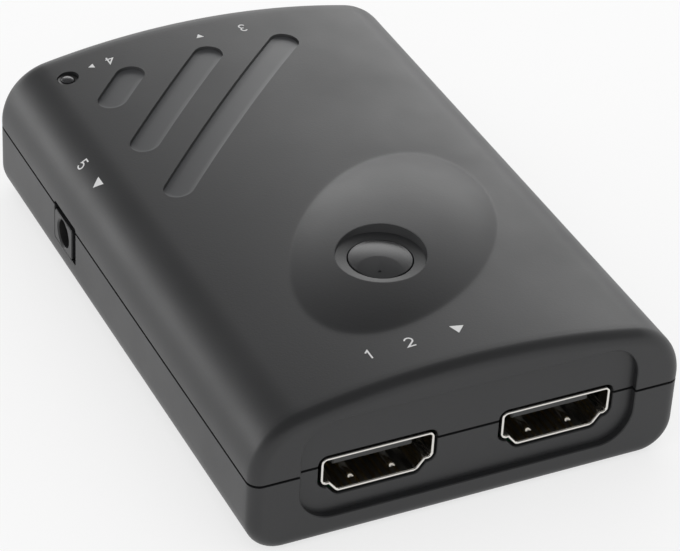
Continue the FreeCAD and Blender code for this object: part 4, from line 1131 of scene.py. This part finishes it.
class SPLITTER_OT_sockets(bpy.types.Operator):
    """Make the plated shells and black mouldings of the three sockets"""

    bl_idname = "splitter.sockets"
    bl_label = "Sockets"

    def latch_bump(self, socket, middle):
        """A crowned bump on the foot of the opening, seen from its side and then across."""
        start, run, under, half_width = 1.45, 3.0, -0.15, 0.51
        low = socket.upper - socket.opening
        profile = [(start, under), (start, 0)]
        for step in range(1, 12):
            share = step / 12
            rise = 0.4 * math.sin(math.pi * share ** 0.7) ** 1.2
            profile.append((start + run * share, rise))
        profile += [(start + run, 0), (start + run, under)]
        rings = []
        for across in even(-0.5, 0.5, 0.1):
            crown = math.sqrt(1 - (across / half_width) ** 2)
            rings.append([
                (middle + across, socket.mouth + socket.inward * depth,
                 low + rise * (crown if rise > 0 else 1))
                for depth, rise in profile
            ])
        return loft(rings)

    def shell(self, size, socket):
        sheet, reach = size.sheet, size.reach
        half = sheet / 2
        steps = [(sheet, reach), *arc_points(half, half, half, 0, -math.pi, 6), (0, reach)]
        form = Form().add(*loft(along_socket(socket, steps), loop=True))
        for sign in (-1, 1):
            sides = sorted(socket.x + sign * (socket.half + thick) for thick in (0, sheet))
            # Two legs that go down through the board, and one latch bump
            for depth in (2.6, 8.4):
                ends = sorted(
                    socket.mouth + socket.inward * (depth + edge) for edge in (-0.65, 0.65)
                )
                form.add(*block(sides, ends, (2.9, 9.4)))
            form.add(*self.latch_bump(socket, socket.x + sign * 2.7))
        return form.piece(socket.name + "_sleeve")

    def moulding(self, size, socket):
        half, top, thick = socket.tongue, socket.tongue_top, 1.05
        form, reach = Form(), size.reach
        form.add(*loft(along_socket(
            socket, ((-0.12, reach - 3.2), (-0.02, reach - 3.1), (-0.02, reach))
        )))
        tongue = (socket.x - half, socket.x + half, top - thick, top)
        steps = [
            (socket.mouth + socket.inward * depth, grow)
            for depth, grow in ((1.5, -0.2), (1.7, 0.0), (reach, 0.0))
        ]
        form.add(*loft(grown(tongue, 0.12, Y, steps, 3)))
        return form.piece(socket.name + "_moulding")

    def execute(self, context):
        size = measures("splitter_sockets")
        for socket in sockets():
            dress(self.shell(size, socket), "socket_nickel", socket.name + "_shell")
            dress(self.moulding(size, socket), "black_moulding", socket.name + "_insulator")
        return {"FINISHED"}


class SPLITTER_OT_contacts(bpy.types.Operator):
    """Set out the gold contacts of the three sockets in rows"""

    bl_idname = "splitter.contacts"
    bl_label = "Contacts"

    def execute(self, context):
        size = measures("splitter_sockets")
        half, start, back, foot = size.contact / 2, 1.9, size.reach + 0.25, BOARD_TOP
        for socket in sockets():
            made = []
            for (count, shift), drop in zip(socket.rows, (0, 1.2)):
                low = socket.tongue_top - drop
                profile = [(start, low + 0.04), (start + 0.04, low + 0.15),
                           (back + 0.15, low + 0.15), (back + 0.15, foot + 0.15),
                           (back + 1.05, foot + 0.15), (back + 1.05, foot), (back, foot),
                           (back, low), (start, low)]
                contact = solid(socket.name + "_pins", loft([
                    [(across, socket.mouth + socket.inward * depth, z) for depth, z in profile]
                    for across in (-half, half)
                ]))
                place = (socket.x - (count - 1) * size.pitch / 2 + shift, 0, 0)
                set_out(contact, place, (count, (size.pitch, 0, 0)), (1, (0, 0, 0)),
                        material_for("contact_brass"))
                made.append(contact)
            join(*made)
            dress(made[0], "contact_brass", socket.name + "_contacts")
        return {"FINISHED"}


class SPLITTER_OT_power_jack(bpy.types.Operator):
    """Make the moulded body of the power jack"""

    bl_idname = "splitter.power_jack"
    bl_label = "Power Jack"

    def execute(self, context):
        size = measures("splitter_sockets")
        side = measures("splitter_casing").width / 2
        y, z, bore = size.jack_y, size.jack_z, size.jack_bore
        half, tall, edge, long, bore_long = 3, 4.4, 0.12, 11.0, 9.0
        steps = ((-side, -edge), (-side + edge, 0), (-side + long, 0))
        around = (y - half, y + half, BOARD_TOP, BOARD_TOP + tall)
        body = solid("power_jack", loft(grown(around, 0.35, X, steps)))
        mouth = ((-side - 0.3, bore + 0.5), (-side + 0.2, bore), (-side + bore_long, bore))
        rings = []
        for x, radius in mouth:
            rings += stacked(circle(y, z, radius, 64), X, x)
        carve(body, rings)
        dress(body, "black_moulding", "dc_jack_body", look="jack_plastic")
        return {"FINISHED"}


class SPLITTER_OT_screws(bpy.types.Operator):
    """Set out the four cross-head screws under the casing"""

    bl_idname = "splitter.screws"
    bl_label = "Screws"

    def execute(self, context):
        profile = [(0, 0.5), (1.9, 0.5), (2.2, 0.65), (2.3, 0.95), (2.3, 2.0), (1.25, 2.0)]
        core, crest, pitch = 1.0, 1.25, 0.62
        for turn in range(18):
            z = 2.3 + turn * pitch
            profile += [(core, z), (crest, z + 0.3)]
        profile += [(0.9, 13.4), (0, 13.5)]
        screw = solid("case_screw_set", lathe(profile, 0, 0))
        # The two bars of the cross recess, which narrow towards its bottom
        for x, y in ((1.4, 0.25), (0.25, 1.4)):
            rings = []
            for level, share in ((0.2, 1.0), (1.3, 0.8)):
                rings += stacked(rectangle(-x * share, x * share, -y, y, 0.1, 3), Z, level)
            carve(screw, rings)
        low, high = SCREW_ROWS
        start, across = (-SCREW_ACROSS, low, 0), (2, (2 * SCREW_ACROSS, 0, 0))
        set_out(screw, start, across, (2, (0, high - low, 0)), material_for("screw_steel"))
        dress(screw, "screw_steel", "case_screws")
        return {"FINISHED"}


STROKES = {
    "1": [[(0.1, 0.76), (0.36, 1.0), (0.36, 0.0)]],
    "2": [[("arc", 0.31, 0.69, 0.31, 165, -38), (0.0, 0.0), (0.64, 0.0)]],
    "3": [[("arc", 0.3, 0.75, 0.25, 155, -80), (0.24, 0.52)],
          [(0.24, 0.52), ("arc", 0.3, 0.27, 0.27, 85, -155)]],
    "4": [[(0.47, 0.0), (0.47, 1.0), (0.0, 0.3), (0.66, 0.3)]],
    "5": [[(0.56, 1.0), (0.12, 1.0), (0.06, 0.53), ("arc", 0.29, 0.32, 0.3, 125, -150)]],
}


def stroke_line(stroke):
    """The points of one stroke, with its arcs worked out."""
    line = []
    for item in stroke:
        if item[0] == "arc":
            _, x, y, radius, first, last = item
            bend = arc_points(x, y, radius, math.radians(first), math.radians(last - first), 18)
            line += [Vector(point) for point in bend]
        else:
            line.append(Vector(item))
    return line


class SPLITTER_OT_marks(bpy.types.Operator):
    """Print plain numbers and arrows on the lid"""

    bl_idname = "splitter.marks"
    bl_label = "Printed Marks"

    def ribbon(self, line, half):
        """Left and right edges of a stroke, with mitred corners."""
        edges = []
        for index, here in enumerate(line):
            before = (here - line[index - 1]).normalized() if index else None
            after = (line[index + 1] - here).normalized() if index < len(line) - 1 else None
            if before is None or after is None:
                heading = before or after
                edges.append((here, Vector((-heading.y, heading.x)) * half))
                continue
            normal = Vector((-(before + after).y, (before + after).x)).normalized()
            sharpest = 0.35
            along = max(sharpest, normal.dot(Vector((-before.y, before.x))))
            edges.append((here, normal * half / along))
        return [(here + out, here - out) for here, out in edges]

    def strokes(self, form, lid, place, shape, half, lift):
        """Adds one stroke, divided finely enough to follow the curved lid."""
        line, fine = [shape[0]], 0.25
        for point in shape[1:]:
            steps = max(1, int((point - line[-1]).length / fine))
            start = line[-1]
            line += [start.lerp(point, step / steps) for step in range(1, steps + 1)]
        rings = []
        for left, right in self.ribbon(line, half):
            a, b = place(left), place(right)
            rings.append([lid.point(*a, -0.01), lid.point(*a, lift),
                          lid.point(*b, lift), lid.point(*b, -0.01)])
        form.add(*loft(rings))

    def arrow(self, form, lid, place, x, y, heading, size, lift):
        tip = Vector((math.cos(heading), math.sin(heading))) * size * 0.55
        side = Vector((-tip.y, tip.x)) * 1.25
        middle = Vector((x, y))
        corners = [middle + tip, middle - tip + side, middle - tip - side]
        rings = []
        for depth in (-0.01, lift):
            ring = []
            for index, corner in enumerate(corners):
                after = corners[(index + 1) % 3]
                for step in range(6):
                    ring.append(lid.point(*place(corner.lerp(after, step / 6)), depth))
            rings.append(ring)
        form.add(*loft(rings))

    def execute(self, context):
        lid, size = Lid(), measures("splitter_marks")
        form = Form()
        down = -math.pi / 2
        # Start and turn of each group, its digits, and its arrow's place, heading and size
        marks = [
            ((-11.6, -36.9), 0.0, [("1", 0.0), ("2", 5.2)], (12.0, 0.8, down - 0.23, 0.82)),
            ((5.2, 37.2), math.pi, [("3", 0.0)], (6.9, 0.8, down, 0.5)),
            ((-14.2, 37.0), math.pi, [("4", 0.0)], (3.2, 0.8, 0.0, 0.46)),
            ((-26.9, 18.6), -math.pi / 2, [("5", 0.0)], (5.4, 0.8, down, 0.82)),
        ]
        for origin, turn, digits, (ax, ay, heading, share) in marks:
            def place(point, origin=origin, turn=turn):
                cos, sin = math.cos(turn), math.sin(turn)
                return (origin[0] + point.x * cos - point.y * sin,
                        origin[1] + point.x * sin + point.y * cos)
            for digit, shift in digits:
                for stroke in STROKES[digit]:
                    shape = [
                        Vector((p.x * size.height + shift, p.y * size.height))
                        for p in stroke_line(stroke)
                    ]
                    self.strokes(form, lid, place, shape, size.stroke / 2, size.lift)
            self.arrow(form, lid, place, ax, ay, heading, size.height * share, size.lift)
        dress(form.piece("printed_marks"), "casing", look="print_ink")
        return {"FINISHED"}


class SPLITTER_OT_stage(bpy.types.Operator):
    """Set up the pale floor, the soft studio light and the camera"""

    bl_idname = "splitter.stage"
    bl_label = "Stage"

    def floor(self, values):
        reach = 3.0 / MM
        plane = Form().add(
            [(-reach, -reach, 0), (reach, -reach, 0), (reach, reach, 0), (-reach, reach, 0)],
            [(0, 1, 2, 3)],
        ).piece("studio_floor")
        material = bpy.data.materials.new("studio_floor")
        material.use_nodes = True
        tree = material.node_tree
        principled = tree.nodes["Principled BSDF"]
        principled.inputs["Base Color"].default_value = (*values.floor, 1)
        principled.inputs["Roughness"].default_value = 0.9
        glow = add_node(tree, "ShaderNodeEmission", {"Strength": 1.0})
        path = tree.nodes.new("ShaderNodeLightPath")
        seen = math_node(
            tree, "MAXIMUM", path.outputs["Is Camera Ray"], path.outputs["Is Glossy Ray"]
        )
        seen = math_node(tree, "MAXIMUM", seen, path.outputs["Is Transmission Ray"])
        glow_share = 0.7
        share = math_node(tree, "MULTIPLY", seen, glow_share)
        shown = self.mix(tree, share, principled.outputs[0], glow.outputs[0])
        wire(tree, shown, tree.nodes["Material Output"].inputs["Surface"])
        plane.data.materials.append(material)

    def backdrop(self, tree, height, stops):
        """A part of the room that gloss shows, with its brightness by height."""
        brightest = max(level for _, level in stops)
        ramp = tree.nodes.new("ShaderNodeValToRGB")
        while len(ramp.color_ramp.elements) < len(stops):
            ramp.color_ramp.elements.new(0.5)
        for element, (position, level) in zip(ramp.color_ramp.elements, stops):
            element.position = position
            element.color = (*[level / brightest] * 3, 1)
        wire(tree, height, ramp.inputs[0])
        return add_node(tree, "ShaderNodeBackground", {
            "Strength": brightest, "Color": ramp.outputs[0],
        }).outputs[0]

    def mix(self, tree, share, first, second):
        return add_node(tree, "ShaderNodeMixShader", {0: share, 1: first, 2: second}).outputs[0]

    def facing(self, tree, place, direction, low, high):
        """How far the room is seen towards a direction, from 0 to 1."""
        share = add_node(
            tree, "ShaderNodeVectorMath", {0: place.outputs["Generated"], 1: direction},
            operation="DOT_PRODUCT",
        )
        return add_node(tree, "ShaderNodeMapRange", {
            "From Min": low, "From Max": high, "Value": share.outputs["Value"],
        }).outputs["Result"]

    def room(self, values):
        world = bpy.data.worlds.new("studio_room")
        bpy.context.scene.world = world
        world.use_nodes = True
        tree = world.node_tree
        plain = tree.nodes["Background"]
        plain.inputs["Strength"].default_value = values.sky
        plain.inputs["Color"].default_value = (1, 1, 1, 1)
        white = add_node(tree, "ShaderNodeBackground", {"Color": (1, 1, 1, 1)})
        place = tree.nodes.new("ShaderNodeTexCoord")
        parts = tree.nodes.new("ShaderNodeSeparateXYZ")
        wire(tree, place.outputs["Generated"], parts.inputs[0])
        # Brightness by height of what gloss shows ahead, behind on the left and on the right
        front, left, right = (self.backdrop(tree, parts.outputs["Z"], stops) for stops in (
            ((0.0, 1.0), (0.3, 0.9), (0.45, 0.3), (0.6, 0.15), (1.0, 0.15)),
            ((0.0, 1.0), (0.1, 1.0), (0.27, 0.7), (0.45, 0.3), (0.7, 0.25), (0.8, 0.15),
             (1.0, 0.15)),
            ((0.0, 1.0), (0.5, 1.0), (0.58, 0.8), (0.66, 0.42), (0.75, 0.22), (1.0, 0.15)),
        ))
        sideways = self.facing(tree, place, RIGHT, -0.5, -0.08)
        forwards = self.facing(tree, place, AWAY, -0.2, 0.4)
        gloss = self.mix(tree, forwards, front, self.mix(tree, sideways, left, right))
        path = tree.nodes.new("ShaderNodeLightPath")
        seen = math_node(
            tree, "MAXIMUM", path.outputs["Is Camera Ray"], path.outputs["Is Transmission Ray"]
        )
        room = self.mix(tree, seen, plain.outputs[0], white.outputs[0])
        room = self.mix(tree, path.outputs["Is Glossy Ray"], room, gloss)
        wire(tree, room, tree.nodes["World Output"].inputs["Surface"])

    def softbox(self, name, azimuth, elevation, distance, width, height, power):
        light = bpy.data.lights.new(name, "AREA")
        light.shape, light.size, light.size_y = "RECTANGLE", width, height
        light.energy = power
        item = bpy.data.objects.new(name, light)
        a, e = math.radians(azimuth), math.radians(elevation)
        away = Vector((math.sin(a) * math.cos(e), math.cos(a) * math.cos(e), math.sin(e)))
        item.location = away * distance
        item.rotation_euler = away.to_track_quat("Z", "Y").to_euler()
        bpy.context.scene.collection.objects.link(item)

    def execute(self, context):
        values = context.scene.splitter_finish
        context.scene.view_settings.view_transform = "Standard"
        self.floor(values)
        self.room(values)
        self.softbox(
            "back_right_softbox", azimuth=28, elevation=21, distance=0.7, width=0.6, height=0.3,
            power=values.side_light,
        )
        self.softbox(
            "back_left_softbox", azimuth=-42, elevation=7, distance=0.7, width=0.6, height=0.15,
            power=values.fill_light,
        )
        # The camera's lens and place were fitted to the casing and the sockets in the photo
        camera = bpy.data.cameras.new("photo_camera")
        camera.sensor_width, camera.lens = 36, 159.81
        camera.clip_start, camera.clip_end = 0.01, 20
        item = bpy.data.objects.new("photo_camera", camera)
        right = Vector((0.90366, -0.42546, 0.04900))
        up = Vector((0.20879, 0.53756, 0.81697))
        back = Vector((-0.37393, -0.72803, 0.57459))
        turn = Matrix((right, up, back)).transposed().to_4x4()
        item.matrix_world = Matrix.Translation((-0.14310, -0.28452, 0.22904)) @ turn
        context.scene.collection.objects.link(item)
        context.scene.camera = item
        return {"FINISHED"}


OPERATORS = (
    SPLITTER_OT_finishes,
    SPLITTER_OT_upper_casing,
    SPLITTER_OT_lower_casing,
    SPLITTER_OT_button,
    SPLITTER_OT_power_light,
    SPLITTER_OT_sockets,
    SPLITTER_OT_contacts,
    SPLITTER_OT_power_jack,
    SPLITTER_OT_screws,
    SPLITTER_OT_marks,
    SPLITTER_OT_stage,
)


class SPLITTER_PT_dressing(bpy.types.Panel):
    """Lists the steps and settings of the splitter's dressing"""

    bl_label = "Splitter Dressing"
    bl_idname = "SPLITTER_PT_dressing"
    bl_space_type = "VIEW_3D"
    bl_region_type = "UI"
    bl_category = "Splitter"

    def draw(self, context):
        for operator in OPERATORS:
            self.layout.operator(operator.bl_idname)
        for name in GROUPS:
            group = getattr(context.scene, name)
            box = self.layout.box()
            for item in group.bl_rna.properties:
                if item.identifier not in ("rna_type", "name"):
                    box.prop(group, item.identifier)


def register():
    for item in (*GROUPS.values(), *OPERATORS, SPLITTER_PT_dressing):
        bpy.utils.register_class(item)
    for name, group in GROUPS.items():
        setattr(bpy.types.Scene, name, PointerProperty(type=group))


def unregister():
    for name in GROUPS:
        delattr(bpy.types.Scene, name)
    for item in reversed((*GROUPS.values(), *OPERATORS, SPLITTER_PT_dressing)):
        bpy.utils.unregister_class(item)


def main():
    register()
    for operator in OPERATORS:
        family, name = operator.bl_idname.split(".")
        getattr(getattr(bpy.ops, family), name)()


if __name__ == "__main__":
    main()
